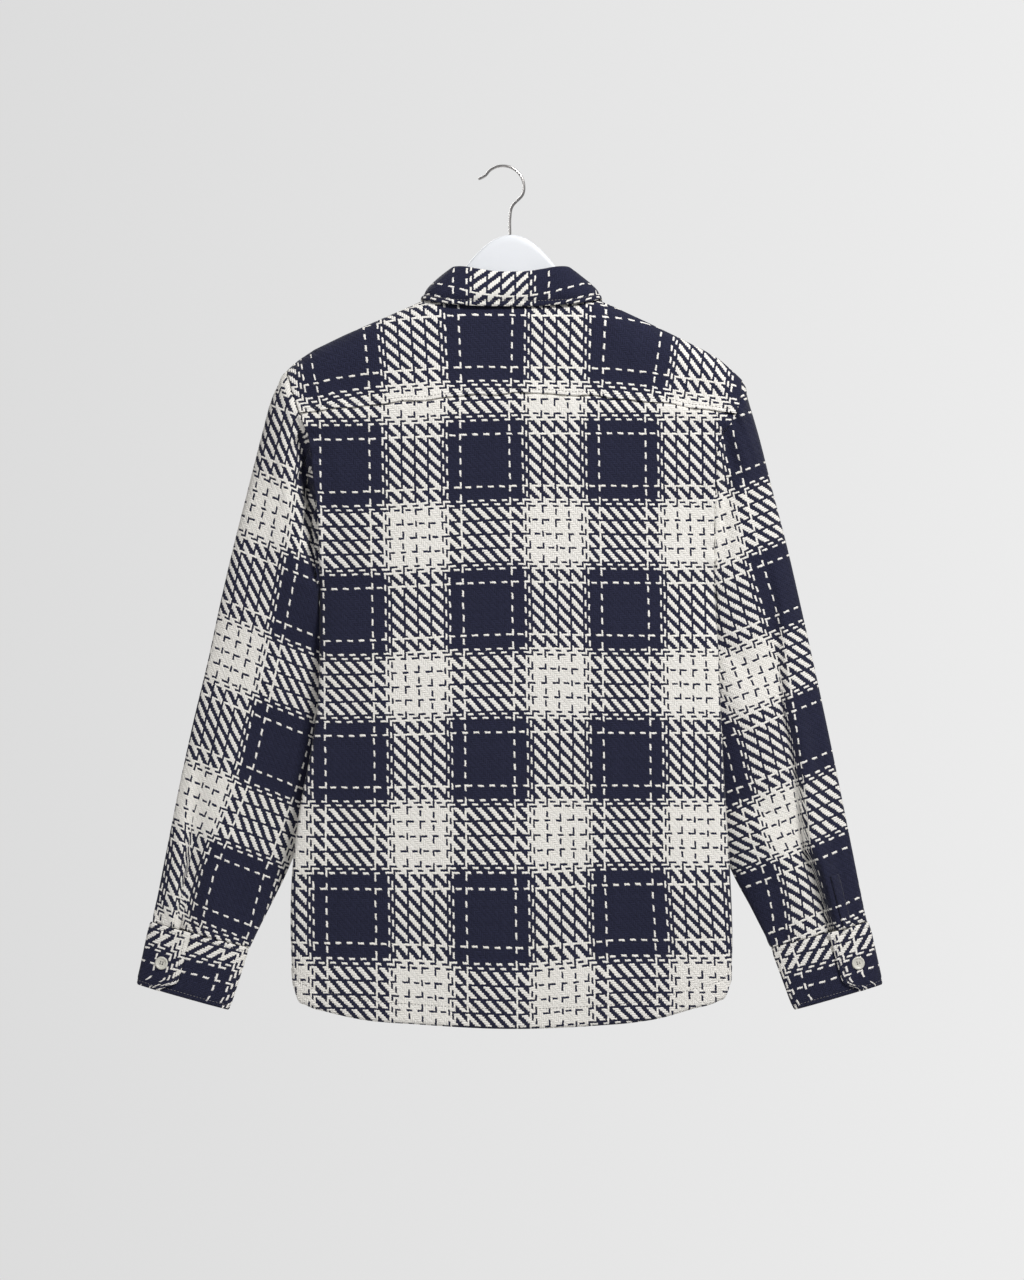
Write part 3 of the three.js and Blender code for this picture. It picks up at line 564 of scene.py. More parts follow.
def yoke_seam_z(across):
    """Height of the yoke's back seam, with the slight unevenness that sewing leaves."""
    wave = 0.7 * np.sin(across * 21) + 0.5 * np.sin(across * 37 + 1)
    return follow(across, YOKE_SEAM["across"], YOKE_SEAM["z"]) + wave * (1 - across**8)


def hem_z(across):
    """Height of the hem."""
    return follow(across, HEM["across"], HEM["z"])


def back_point(across, z):
    """A point of the back: the lens behind the middle plane, with the creases standing out of it."""
    x = edge_x(across, z)
    deep = 22 - 6 * ease(-z, -UNDERARM_Z, 520)
    fold = relief(x, z, BACK_CREASES) * (1 - np.abs(across) ** 8)
    y = mid_y(z) - SEAM - bulge(across, z, deep, 0.3) - fold
    return np.stack([x, y, z], axis=-1)


def turned_hem(points, edge_z):
    """Thickens the turned-up hem, sinks its stitch row and rolls the last millimetres of the edge in."""
    above = points[..., 2] - edge_z
    turn_up = 0.7 * (1 - ease(above, HEM_TURN - 2, HEM_TURN + 3))
    sewn = sewn_edge(above, HEM_TURN, 1.7, 0.85, 1.0, 2.5)
    ripple = pucker(points[..., 0], above - HEM_TURN + 4, 9, 0.22)
    return points + outward(points) * (turn_up + sewn + ripple)[..., None]


# %% Back panel
across = BODY_ACROSS[None, :]
down_share = np.linspace(0, 1, BACK_ROWS)[:, None]
seam_z, bottom_z = yoke_seam_z(across), hem_z(across)
back_z = (seam_z - SEAM) * (1 - down_share) + bottom_z * down_share
back_points = back_point(across + 0 * back_z, back_z)
below_seam = seam_z - back_z
tuck = -0.9 * (1 - ease(below_seam, 0, 5)) + pucker(back_points[..., 0], below_seam, 12, 0.3, 1.0)
to_armhole = (1 - np.abs(across)) * 230 + 40 * ease(-back_z, 425, 445)
armhole_ripple = pucker(back_z, to_armhole, 11, 0.5, 0.6) * (1 + 1.4 * ease(back_z, -335, -275))
back_points = back_points + outward(back_points) * (tuck + armhole_ripple)[..., None]
back_points = turned_hem(back_points, bottom_z)
print("back grid", back_points.shape[:2])

WARP_START, WEFT_START = -130.5, 348.9
# Neither runs quite true: the columns drift right on the way down, and the rows sag towards the left armhole
# and stretch above the hem. Each row gives distances down, and millimetres of drift there
BACK_DRIFT = {
    "tilt": ([250, 294, 450, 606, 762, 894], [-1.8, -1.5, 1.6, 3.8, 5.2, 7]),
    "stretch": ([250, 600, 657, 700, 733, 750, 812, 830, 900], [-1, -1, 0.5, 2, 4.5, 7, 14, 16.8, 17.5]),
    "sag_left": ([250, 350, 420, 509, 575, 661, 728, 824, 900], [5.6, 7, 7.5, 7, 4.8, 1.7, 1.2, -5.5, -7]),
    "sag_right": ([250, 660, 728, 824, 900], [0, -0.5, -3.2, -8, -9]),
}
down, x = -back_points[..., 2], back_points[..., 0]
drift = {name: follow(down, *table) for name, table in BACK_DRIFT.items()}
squeezed = -6 * ease(x, 40, 200) * (1 - ease(down, 700, 850))
sag = drift["stretch"] + drift["sag_left"] * ease(-x, -20, 190) + drift["sag_right"] * ease(x, 0, 130)
back_grain = np.stack([x - WARP_START - drift["tilt"] - squeezed, down - WEFT_START - sag], axis=-1)
cloth("back_panel", back_points, back_grain, replaced=["back"])

# %% [markdown]
# ## The yoke
# The yoke is a doubled piece over both shoulders, from a seam across the back to one 30 mm down the front,
# with the neck cut out of it. One grid carries it: its rows run from the back seam up over the hanger's arm
# and down the front. The cells inside the neck are left out, and its lower edge laps over the back panel.

# %% Yoke
YOKE_COLUMNS = 168
yoke_across = crowded(np.linspace(-1, 1, YOKE_COLUMNS), 0.6)
NECK_LEFT, NECK_RIGHT = -NECK_HALF / TIP_LEFT, NECK_HALF / TIP_RIGHT
yoke_across[np.abs(yoke_across - NECK_LEFT).argmin()] = NECK_LEFT
yoke_across[np.abs(yoke_across - NECK_RIGHT).argmin()] = NECK_RIGHT
tip_x = yoke_across * np.where(yoke_across < 0, TIP_LEFT, TIP_RIGHT)
top_z = ridge_z(tip_x)
seam_row = back_point(yoke_across, yoke_seam_z(yoke_across))
arch_rows = [
    np.stack([edge_x(yoke_across, top_z - drop), y + 0 * tip_x, top_z - drop], axis=-1)
    for drop, y in zip(ARCH["drop"], ARCH["y"])
]
between = [seam_row + (arch_rows[0] - seam_row) * share for share in (1 / 3, 2 / 3)]
yoke_control = np.array([seam_row, *between, *arch_rows])
NECK_ROW = 4 + 6 / 7  # 5 mm below the shoulder line
low_rows, high_rows = np.linspace(0, NECK_ROW, 52), np.linspace(NECK_ROW, 11, 48)[1:]
row_at = np.concatenate([low_rows, high_rows])
yoke_points = curve_rows(yoke_control, row_at)
inside_neck = np.clip(1 - (yoke_points[..., 0] / NECK_HALF) ** 2, 0, 1)
on_back = np.clip(row_at / NECK_ROW, 0, 1)[:, None] * (row_at <= NECK_ROW)[:, None]
yoke_points[..., 2] -= 2 * inside_neck * on_back**3
# In front the neck's edge curves inwards with the front panels' neckline
drop = np.clip(top_z[None, :] - yoke_points[..., 2], 0, YOKE_FRONT_DROP) * (row_at > 7.5)[:, None]
inwards = NECK_HALF - NECK_HALF * np.sqrt(1 - (drop / NECK_DROP) ** 2)
near_neck = 1 - ease(np.abs(yoke_points[..., 0]), NECK_HALF, NECK_HALF + 25)
yoke_points[..., 0] -= np.sign(yoke_points[..., 0]) * inwards * near_neck
yoke_fold = relief(yoke_points[..., 0], yoke_points[..., 2], YOKE_CREASES) * (row_at < 4)[:, None]
print("yoke grid", yoke_points.shape[:2])

# %% The yoke's lap and its check
above_seam = run(yoke_points, 0)
to_tip = (1 - np.abs(yoke_across))[None, :] * 230
lap = 0.9 * (1 - ease(above_seam, 3, 8)) - 0.7 * bell(above_seam - 4, 1.4)
shape = yoke_fold + lap + pucker(yoke_points[..., 0], above_seam - 3, 13, 0.32, 2.0)
shape = shape + pucker(above_seam, to_tip, 9, 0.45, 0.3)
yoke_points = yoke_points - outward(yoke_points) * shape[..., None]
YOKE_WEFT_START = 224.3  # distance down of the yoke's first weft thread, on the back seam's side
# The rows droop towards the shoulder tips, where the sleeves' weight pulls, and the columns lean with them
droop = follow(tip_x, YOKE_DROOP["x"], YOKE_DROOP["mm"])[None, :]
lean = -np.gradient(droop[0], tip_x)[None, :]
seam_v = -yoke_seam_z(yoke_across)[None, :] - YOKE_WEFT_START - droop
yoke_u = yoke_points[..., 0] - WARP_START + above_seam * lean
yoke_grain = np.stack([yoke_u, seam_v - above_seam], axis=-1)
columns_kept = np.abs(0.5 * (tip_x[1:] + tip_x[:-1])) > NECK_HALF
rows_kept = 0.5 * (row_at[1:] + row_at[:-1]) < NECK_ROW
yoke_keep = (rows_kept[:, None] | columns_kept[None, :])[::-1]
cloth("yoke_panel", yoke_points[::-1], yoke_grain[::-1], keep=yoke_keep, replaced=["yoke"])

# %% [markdown]
# ## The fronts and the buttoned band
# The photograph shows only the back, so the fronts are finished the way such a shirt is: two panels with the
# same check, a straight band for the buttonholes down the left one, and seven buttons. The right front passes
# under the band. The neckline is a half ellipse.

# %% Front panels
FRONT_ROWS, FRONT_COLUMNS = 205, 86
FRONT_WARP_START = 14.5  # x of the fronts' first warp thread


def front_y(across, z, below_ridge):
    """y of the front: the yoke's arch near the shoulder, then the front half of the lens."""
    deep = 24 + 8 * ease(-z, -UNDERARM_Z, 520)
    lens = mid_y(z) + SEAM + bulge(across, z, deep, 0.625)
    return 17 + (lens - 17) * ease(below_ridge, YOKE_FRONT_DROP, 110)


def front_grain(points):
    """The fronts' check: warp threads counted leftwards, weft threads on the same levels as the back's."""
    return np.stack([FRONT_WARP_START - points[..., 0], -points[..., 2] - WEFT_START], axis=-1)


def front_panel(side):
    """One front as a grid from its edge at the middle to its side seam, as seen from in front."""
    x_share = crowded(np.linspace(0, 1, FRONT_COLUMNS), 0.55)[None, :]
    tip = TIP_LEFT if side < 0 else TIP_RIGHT
    x_top = BAND_HALF * -side * (1 - x_share) + side * tip * x_share
    ridge = ridge_z(side * np.abs(x_top) * (x_top * side > 0))
    ellipse = NECK_Z - NECK_DROP * np.sqrt(np.clip(1 - (x_top / NECK_HALF) ** 2, 0, 1))
    top = np.minimum(ridge - YOKE_FRONT_DROP - 2 * SEAM, np.where(np.abs(x_top) < NECK_HALF, ellipse, 0))
    across = np.clip(x_top / tip, -1, 1)
    bottom = hem_z(np.where(across * side > 0, across, 0))
    share = np.linspace(0, 1, FRONT_ROWS)[:, None]
    z = top * (1 - share) + bottom * share
    middle = np.clip(1 - np.abs(x_top) / 40, 0, 1)
    x = edge_x(across, z) * (1 - middle) + x_top * middle
    y = front_y(across, z, ridge - z) + relief(x, z, FRONT_CREASES) * (1 - np.abs(across) ** 8)
    if side > 0:
        y = y - 2.6 * (1 - ease(x, 30, 75))
    points = np.stack([x, y, z], axis=-1)
    return points[:, ::-side], bottom[:, ::-side]


front_points = {}
for side, word in BOTH_SIDES:
    points, bottom = front_panel(side)
    points = turned_hem(points, bottom)
    front_points[word] = points
    cloth("front_panel_" + word, points, front_grain(points), replaced=["front_" + word])

# %% Buttoned band
BAND_TOP = NECK_Z - NECK_DROP - 4
band_x = np.linspace(BAND_HALF - 0.3, -BAND_HALF, 20)[None, :]
band_share = np.linspace(0, 1, 220)[:, None]
band_bottom = hem_z(np.zeros_like(band_x))
band_z = BAND_TOP * (1 - band_share) + (band_bottom - 0.5) * band_share
band_across = np.minimum(band_x, 0) / TIP_LEFT
band_y = front_y(band_across, band_z, NECK_Z - band_z) + 2.4
band_edge = BAND_HALF - np.abs(band_x)
band_y = band_y + sewn_edge(band_edge, 5, 1.3, 0.8, 0.9, 1.8) + pucker(band_z, band_edge - 4, 5, 0.2)
band_points = np.stack([band_x + 0 * band_z, band_y, band_z + 0 * band_x], axis=-1)
band_points = turned_hem(band_points, band_bottom)
cloth("front_band", band_points, front_grain(band_points), wall=2.0, replaced=["front_placket"])

# %% [markdown]
# ## The sleeves
# A sleeve is a flat panel rolled into a tube and set into the armhole. Hanging, it lies nearly flat, so its
# section is a squashed ring between an outer and an inner edge. The first ring is the armhole itself, made
# from the edges of the panels around it, and the next few rings ease from that shape into the tube. The grain
# runs down the arm: its rows slope about 21 degrees, and the threads are counted from the outer edge.

# %% Tables of the sleeves, from armhole to cuff
SLEEVE = {
    "out_z": [-214, -241, -280, -335, -395, -455, -515, -575, -635, -690, -740, -785.5],
    "out_left": [-233, -248, -259.5, -274, -289.5, -303.5, -316.5, -331, -344, -355, -365, -374],
    "out_right": [240, 248, 259, 272.5, 288, 302, 315.5, 328.5, 341, 352, 362, 371],
    "in_z": [-435, -447, -461, -482, -512, -552, -596, -640, -684, -730, -772, -812],
    "in_left": [-199, -199.4, -199, -194, -187, -184, -188, -199, -214, -232, -252.5, -273],
    "in_right": [212, 213, 214, 209, 203, 200, 201, 206, 214, 229, 251, 271],
    "y": [0, 2, 5, 8, 11, 13, 14.5, 15.5, 15.5, 15.5, 15.5, 15.5],
    "half": [17, 17, 16.5, 16, 15, 14, 13.5, 13, 12, 11.5, 11, 10.5],
}
CUFF_END = {
    "out_z": -851, "out_left": -388, "out_right": 385.5,
    "in_z": -877.5, "in_left": -294, "in_right": 295, "y": 15.5, "half": 10,
}

# %% Creases of the sleeves
# x0, z0, x1, z1, bow, wide, rise on the back face of each sleeve
SLEEVE_CREASES = {
    "left": [
        (-220, -254, -201, -436, 3, 8, -17.0),
        (-226, -262, -206, -430, 3, 19, -5.0),
        (-238, -262, -226, -380, 4, 7, 2.0),
        (-250, -300, -262, -470, 0, 16, -2.4),
        (-200, -470, -264, -522, -6, 9, -2.4),
        (-196, -500, -252, -572, 5, 12, 2.0),
        (-290, -540, -310, -700, 6, 16, 1.6),
        (-236, -640, -300, -692, -5, 13, -2.0),
        (-214, -600, -246, -720, 5, 10, 1.8),
        (-262, -690, -292, -806, 4, 9, -2.0),
        (-330, -690, -346, -806, -4, 9, -1.8),
        (-303, -730, -316, -812, 3, 8, 1.6),
    ],
    "right": [
        (226, -262, 214, -430, -3, 7, -5.0),
        (241, -262, 232, -400, -3, 8, 2.4),
        (206, -470, 262, -536, 6, 9, -2.4),
        (210, -520, 258, -600, -5, 12, 2.0),
        (228, -640, 292, -690, 5, 13, -2.0),
        (244, -650, 290, -790, -5, 11, 1.8),
        (312, -560, 348, -800, -4, 10, -1.6),
        (262, -720, 286, -806, -4, 9, -1.8),
    ],
}
SLEEVE_FRONT_CREASES = {
    "left": [
        (-222, -270, -210, -450, 3, 9, -4.0),
        (-196, -480, -262, -540, -6, 11, -2.4),
        (-250, -520, -300, -740, 6, 14, 2.2),
        (-216, -620, -296, -700, -6, 12, -2.2),
        (-320, -600, -350, -800, 4, 12, -1.8),
    ],
    "right": [
        (230, -270, 220, -450, -3, 9, -4.0),
        (206, -480, 270, -545, 6, 11, -2.4),
        (252, -520, 306, -740, -6, 14, 2.2),
        (216, -620, 300, -705, 6, 12, -2.2),
        (318, -600, 346, -800, -4, 12, -1.8),
    ],
}
print(sum(len(rows) for rows in (*SLEEVE_CREASES.values(), *SLEEVE_FRONT_CREASES.values())), "creases")

# %% Pleats
# A pleat runs up each sleeve from the cuff's flap: x of its line, its depth, and how far right the check has
# moved on the side away from the body and on the side next to it, at each distance down
PLEATS = {
    "down": [270, 345, 386, 463, 512, 560, 618, 648, 710, 737, 775, 815],
    "left": {
        "x": [-270, -280, -285, -297, -305, -314, -325, -329.5, -336.6, -340, -344.2, -349],
        "deep": [0, 0, 0, 0, 0, 0, 1.5, 3, 6, 7, 8, 7],
        "outside": [9.9, 10.4, 11.4, 14, 14, 14, 14, 12, 20.8, 22.9, 23.4, 23.4],
        "inside": [9.9, 10.4, 11.4, 14, 14, 14, 14, 12, 4.2, 1.6, 1.6, 1.6],
    },
    "right": {
        "x": [240, 252, 261, 276.6, 280, 285, 296.4, 300, 309, 319.3, 329.7, 341],
        "deep": [0, 0, 0, 4.5, 6.5, 8, 9, 10, 12, 13, 12, 8],
        "outside": [0, 0, 0, 2, 2.5, -1, -5, -8, -14, -16, -16, -15],
        "inside": [0, 0, 0, 3, 4, 6, 8, 9, 11, 13, 13.5, 13.5],
    },
}


def pleat(side, x, z):
    """Relief and check shift of a pleat: a groove that is steep on its outer side and gentle on its inner
    side, with a lip along it. The shift passes from one side's to the other's inside the groove."""
    table = PLEATS["left" if side < 0 else "right"]
    line, deep, outside, inside = (
        follow(-z, PLEATS["down"], table[name]) for name in ("x", "deep", "outside", "inside")
    )
    off = side * (x - line)
    groove = -deep * bell(off, np.where(off < 0, 15, 3))
    lip = 0.45 * deep * ease(off, 0, 5) * (1 - ease(off, 7, 28))
    return groove + lip, inside + (outside - inside) * ease(off, -3, 1), outside


# %% Rings
def ring(side, section, angle, grow=0.0):
    """A squashed ring: along the line from outer to inner edge by (1 - cos) / 2, and out by sin^0.85."""
    word = "left" if side < 0 else "right"
    outer = np.stack([section["out_" + word], 0 * section["y"], section["out_z"]], axis=-1)
    inner = np.stack([section["in_" + word], 0 * section["y"], section["in_z"]], axis=-1)
    reach = unit(inner - outer)
    grow = np.asarray(grow)[..., None]
    outer, inner = outer - reach * grow, inner + reach * grow
    points = outer + (inner - outer) * ((1 - np.cos(angle)) / 2)[..., None]
    turn = np.sin(angle)
    rise = np.sign(turn) * np.abs(turn) ** 0.85
    points[..., 1] = section["y"] - rise * (section["half"] + grow[..., 0])
    return points


def along_path(path, share):
    """Points of a path at shares of its length."""
    distance = run(path, 0)
    return np.stack([np.interp(share * distance[-1], distance, path[:, k]) for k in range(3)], axis=-1)


def armhole(side, angle):
    """The loop that the sleeve is set into: over the yoke's edge and down the back's or the front's edge."""
    column = 0 if side < 0 else -1
    over = yoke_points[:, column]
    edge = back_points[:, column]
    down_back = edge[edge[:, 2] > UNDERARM_Z + 2]
    z = np.linspace(over[-1, 2] - 1, UNDERARM_Z, 70)
    down_front = np.stack([edge_x(side + 0 * z, z), open_y(z), z], axis=-1)
    top = int(np.abs(over[:, 1]).argmin())
    lowest = np.array([[edge_x(float(side), UNDERARM_Z), 0, UNDERARM_Z]])
    behind = along_path(np.concatenate([over[top::-1], down_back, lowest]), np.abs(angle) / np.pi)
    before = along_path(np.concatenate([over[top:], down_front]), np.abs(angle) / np.pi)
    loop = np.where((angle > 0)[:, None], behind, before)
    loop[:, 0] += side * 2 * SEAM
    return loop


# %% Sleeve tubes
SLEEVE_ROWS, SLEEVE_COLUMNS = 200, 92
ROW_SLOPE = math.radians(21.5)
GRAIN_LEAN = math.radians(8.5)
# One thread crossing read off each sleeve: its place, its weft number, and the warp number at the outer edge
SLEEVE_GRAIN = {
    "left": {"x": -319.7, "z": -768.9, "weft": 66, "warp": 8.4},
    "right": {"x": 287.7, "z": -402.8, "weft": 40, "warp": 58.4},
}
sleeve_points = {}


def sleeve_grain(side, points, angle):
    """Weft count down the arm across the sloping rows, and warp count round the arm from the outer edge."""
    word = "left" if side < 0 else "right"
    seen = SLEEVE_GRAIN[word]
    x, z = points[..., 0], points[..., 2]
    normal = (side * math.sin(ROW_SLOPE), -math.cos(ROW_SLOPE))
    down = ((x - seen["x"]) * normal[0] + (z - seen["z"]) * normal[1]) / math.cos(GRAIN_LEAN)
    outermost = int(np.abs(angle).argmin())
    edge_down = down[:, outermost]
    order = np.argsort(edge_down)
    edge_x_at = np.interp(down, edge_down[order], x[:, outermost][order])
    edge_z_at = np.interp(down, edge_down[order], z[:, outermost][order])
    flat = np.hypot(x - edge_x_at, z - edge_z_at)
    steps = np.linalg.norm(np.diff(points, axis=1), axis=-1)
    flat_steps = np.hypot(np.diff(x, axis=1), np.diff(z, axis=1))
    extra = np.concatenate([np.zeros((len(x), 1)), np.cumsum(steps - flat_steps, axis=1)], axis=1)
    extra = np.abs(extra - extra[:, outermost : outermost + 1])
    round_arm = np.sign(angle)[None, :] * (flat + extra)
    shift, outside = pleat(side, x, z)[1:]
    right = seen["warp"] * WARP_PITCH - side * round_arm - np.where(angle > 0, shift, outside)
    return np.stack([right, down + seen["weft"] * WEFT_PITCH], axis=-1)


for side, word in BOTH_SIDES:
    angle = np.linspace(-np.pi, np.pi, SLEEVE_COLUMNS + 1) * -side
    row = (np.linspace(0, 1, SLEEVE_ROWS) ** 0.92 * 11)[:, None]
    section = {name: follow(row, range(12), SLEEVE[name]) + 0 * angle for name in SLEEVE}
    points = ring(side, section, angle[None, :] + 0 * row)
    shift = armhole(side, angle) - points[0]
    points = points + shift[None] * (1 - ease(row, 0, 4))[..., None]
    x, z = points[..., 0], points[..., 2]
    on_back = np.clip(np.sin(angle), 0, 1)[None, :] ** 0.4
    on_front = np.clip(-np.sin(angle), 0, 1)[None, :] ** 0.4
    fold = (relief(x, z, SLEEVE_CREASES[word]) + pleat(side, x, z)[0]) * on_back
    fold = fold + relief(x, z, SLEEVE_FRONT_CREASES[word]) * on_front
    fold = fold * ease(row, 0, 0.2)
    from_armhole, to_cuff = run(points, 0), run(points[::-1], 0)[::-1]
    around = run(points, 1)
    cap = 1.3 * bell(from_armhole - 9, 7) - 0.8 * bell(from_armhole, 4)
    gathers = pucker(from_armhole * 0 + around, from_armhole - 3, 10, 0.4, 1.3 + side)
    gathers = gathers * (1 + 1.2 * on_back * ease(z, -330, -260))
    gathers = gathers + pucker(around * 1.7, to_cuff, 16, 0.55, 0.4 - side)
    points = points + outward(points) * (fold + cap + gathers)[..., None]
    sleeve_points[word] = points
    grain = sleeve_grain(side, points, angle)
    cloth("sleeve_tube_" + word, points[:, :-1], grain, closed=True, replaced=["sleeve_" + word])

# %% [markdown]
# ## Cuffs and the slits above them
# A cuff is a doubled band whose end laps over its start and is buttoned there. One spiral makes it: the ring
# of the sleeve's end, carried on past a full turn and lifted by a cloth's thickness so that it passes over
# itself. Its cloth is cut crosswise, so its diagonal runs the other way. Above the lap the sleeve is slit,
# and a narrow bound strip finishes the slit.

# %% Cuffs
CUFF_DEPTH, LAP_LIFT = 66.0, 3.6
CUFF_ROWS, CUFF_COLUMNS = 34, 170
UNDER_LAP, OVER_LAP = math.radians(44), math.radians(80)
# Warp threads are counted down the cuff from its top edge, and weft threads leftwards from the inner edge
CUFF_GRAIN = {"left": {"warp": 20, "weft": 28}, "right": {"warp": 17, "weft": 77.5}}


def cuff_surface(side, down, angle):
    """The sleeve's last ring eased to the cuff's end, and lifted over the lap."""
    section = {name: SLEEVE[name][-1] + (CUFF_END[name] - SLEEVE[name][-1]) * down for name in CUFF_END}
    lift = LAP_LIFT * ease(angle, math.radians(330), math.radians(384))
    return ring(side, section, angle, lift)


def cuff_grid():
    """The spiral band from under the lap round to the flap, whose lower corner is rounded."""
    down = np.linspace(0.004, 1, CUFF_ROWS)[:, None]
    end = 2 * np.pi + OVER_LAP - math.radians(20) * ease(down, 0.7, 1) ** 2
    angle = UNDER_LAP + (end - UNDER_LAP) * np.linspace(0, 1, CUFF_COLUMNS)[None, :]
    return down + 0 * angle, angle


cuff_points = {}
for side, word in BOTH_SIDES:
    down, angle = cuff_grid()
    points = cuff_surface(side, down, angle)
    points, angle, down = points[:, ::-side], angle[:, ::-side], down[:, ::-side]
    around = run(points, 1)
    level = int(len(down) * 0.5)
    at_inner = np.interp(np.pi, angle[level][::-side], around[level][::-side])
    flap_edge = around if side > 0 else around[:, -1:] - around
    from_edge = np.minimum(np.minimum(down, 1 - down) * CUFF_DEPTH, flap_edge)
    sewn = sewn_edge(from_edge, 5, 1.4, 0.7, 0.9, 2)
    plump = 0.5 * ease(from_edge, 0, 9) + pucker(around, from_edge - 5, 6, 0.22, 0.9)
    points = points + outward(points) * (sewn + plump)[..., None]
    cuff_points[word] = points
    start = CUFF_GRAIN[word]
    weft = start["weft"] * WEFT_PITCH + (at_inner - around[level])[None, :] + 0 * down
    grain = np.stack([start["warp"] * WARP_PITCH + down * CUFF_DEPTH, weft], axis=-1)
    cloth("cuff_band_" + word, points, grain, wall=2.0, replaced=["cuff_" + word])

# %% Bound slits above the cuffs
SLIT_LENGTH, SLIT_WIDTH = 58.0, 10.5
for side, word in BOTH_SIDES:
    tube = sleeve_points[word]
    ring_at = tube[-10]
    behind = ring_at[:, 1] < 15
    column = int(np.where(behind, np.abs(ring_at[:, 0] - side * 344), 1e9).argmin())
    length = run(tube[:, column : column + 1], 0)[:, 0]
    rows = np.where(length > length[-1] - SLIT_LENGTH)[0]
    middle = tube[rows, column]
    normal = outward(tube)[rows, column]
    right = unit(np.cross(normal, np.gradient(middle, axis=0)))
    width_at = np.linspace(-0.5, 0.5, 9)
    crown = 2.1 - 0.5 * (2 * width_at) ** 6
    strip = middle[:, None] + right[:, None] * (width_at * SLIT_WIDTH)[None, :, None]
    strip = strip + normal[:, None] * crown[None, :, None]
    angle = np.linspace(-np.pi, np.pi, SLEEVE_COLUMNS + 1) * -side
    base = sleeve_grain(side, tube, angle)[rows, column]
    strip_grain = base[:, None] + np.stack([width_at * SLIT_WIDTH, 0 * width_at], axis=-1)[None]
    cloth("slit_binding_" + word, strip, strip_grain, wall=1.4, replaced=["sleeve_placket_" + word])

# %% [markdown]
# ## The collar
# A shirt collar is two pieces: a narrow stand, sewn round the neck, and a wider fall, sewn to the stand's top
# and folded over it. Both follow one path round the neck, given as a turn from 0 at the middle of the back,
# past 1 at the side of the neck, to 2 at the middle of the front. The table gives the fold and the outer edge
# at a few turns. The fall is cut crosswise, so its cream lines run the other way from the yoke's.

# %% Table of the collar
COLLAR = {
    "turn": [0, 0.22, 0.42, 0.62, 0.82, 1, 1.05, 1.18, 1.36, 1.55, 1.75, 1.98],
    "fold": [
        (0, -13, -110), (16, -13, -109.6), (32, -13, -107.4), (47, -12, -104.8), (57, -7, -104.8),
        (61, 0, -107.5), (61, 3, -109), (60, 8, -114), (54, 14, -128), (43, 18.5, -150), (27, 22, -173),
        (5, 25, -193),
    ],
    "leaf": [
        (0, -18.5, -146), (26, -18.5, -145.8), (50, -18.3, -144.6), (72, -17, -142.4), (88, -11, -139),
        (94.5, 0, -136.5), (95, 7, -138), (95, 15, -146), (90, 21.5, -168), (79, 24.5, -197),
        (64, 26.8, -224), (46, 28, -250),
    ],
}


def neckline(turn):
    """The neck seam: a flat arc behind, then the half ellipse of the front neckline."""
    width, a = NECK_HALF - 0.9, math.pi / 2 * (turn if turn <= 1 else turn - 1)
    if turn <= 1:
        return (width * math.sin(a) ** 0.75, -12.2 * math.cos(a) ** 0.4, -140.2 + 4.7 * turn**3)
    z = NECK_Z - 1.5 - (NECK_DROP - 2.4) * math.sin(a)
    return (width * math.cos(a), float(front_y(0.0, z, NECK_Z - z)), z)


# %% Sections round the neck
turn_rows = np.array(COLLAR["turn"])
fold_line, leaf_line = np.array(COLLAR["fold"], float), np.array(COLLAR["leaf"], float)
neck_line = np.array([neckline(turn) for turn in turn_rows])
along = np.array([fold_line[min(k + 1, 11)] - fold_line[max(k - 1, 0)] for k in range(12)])
along[0] = (1, 0, 0)
along = unit(along)
up = fold_line - neck_line
up = unit(up - along * np.sum(up * along, axis=1, keepdims=True))
away = np.cross(along, up)
# The roll over the fold, as steps away from the neck and up
ROLL = [(-2.2, -5), (-2.2, -2.8), (-1.1, -0.7), (0.6, 0), (2.3, -0.7), (3.5, -2.8)]
roll = [fold_line + away * out + up * rise for out, rise in ROLL]
leaf_steps = [
    roll[-1] + (leaf_line - roll[-1]) * share + away * 2.2 * math.sin(math.pi * share)
    for share in (1 / 3, 2 / 3, 1)
]
stand_top = fold_line - 6 * up
stand_rows = np.array([stand_top, (stand_top + neck_line) / 2, neck_line])
fall_rows = np.array([*roll, *leaf_steps])
print(len(fall_rows), "rows control the fall and", len(stand_rows), "the stand")


def round_neck(control, columns):
    """Mirrors a grid's right half, and runs a smooth curve through its columns from end to end."""
    left = control[:, :0:-1] * (-1, 1, 1)
    whole = np.concatenate([left, control], axis=1)
    at = np.concatenate([-turn_rows[:0:-1], turn_rows])
    wanted = np.linspace(-1.98, 1.98, columns)
    place = np.interp(wanted, at, np.arange(len(at)))
    return curve_rows(whole.transpose(1, 0, 2), place).transpose(1, 0, 2)


# %% Collar stand
# Thread numbers at the stand's top and at the fall's fold, and x of the fall's own weft thread
STAND_WARP, FALL_WARP, FALL_WEFT, FALL_WEFT_X = 58, 52.4, 16.5, -10.4
stand_points = curve_rows(round_neck(stand_rows, 190), np.linspace(0, 2, 16))
from_top = run(stand_points, 0)
stand_edge = np.minimum(from_top, from_top[-1:] - from_top)
stand_lift = sewn_edge(stand_edge, 4, 1.3, 0.7, 0.8, 1.8)
stand_points = stand_points + outward(stand_points) * stand_lift[..., None]
stand_grain = np.stack([STAND_WARP * WARP_PITCH + 30 + from_top, -run(stand_points, 1)], axis=-1)
cloth("collar_stand_band", stand_points, stand_grain, wall=2.0, replaced=["collar_stand"])

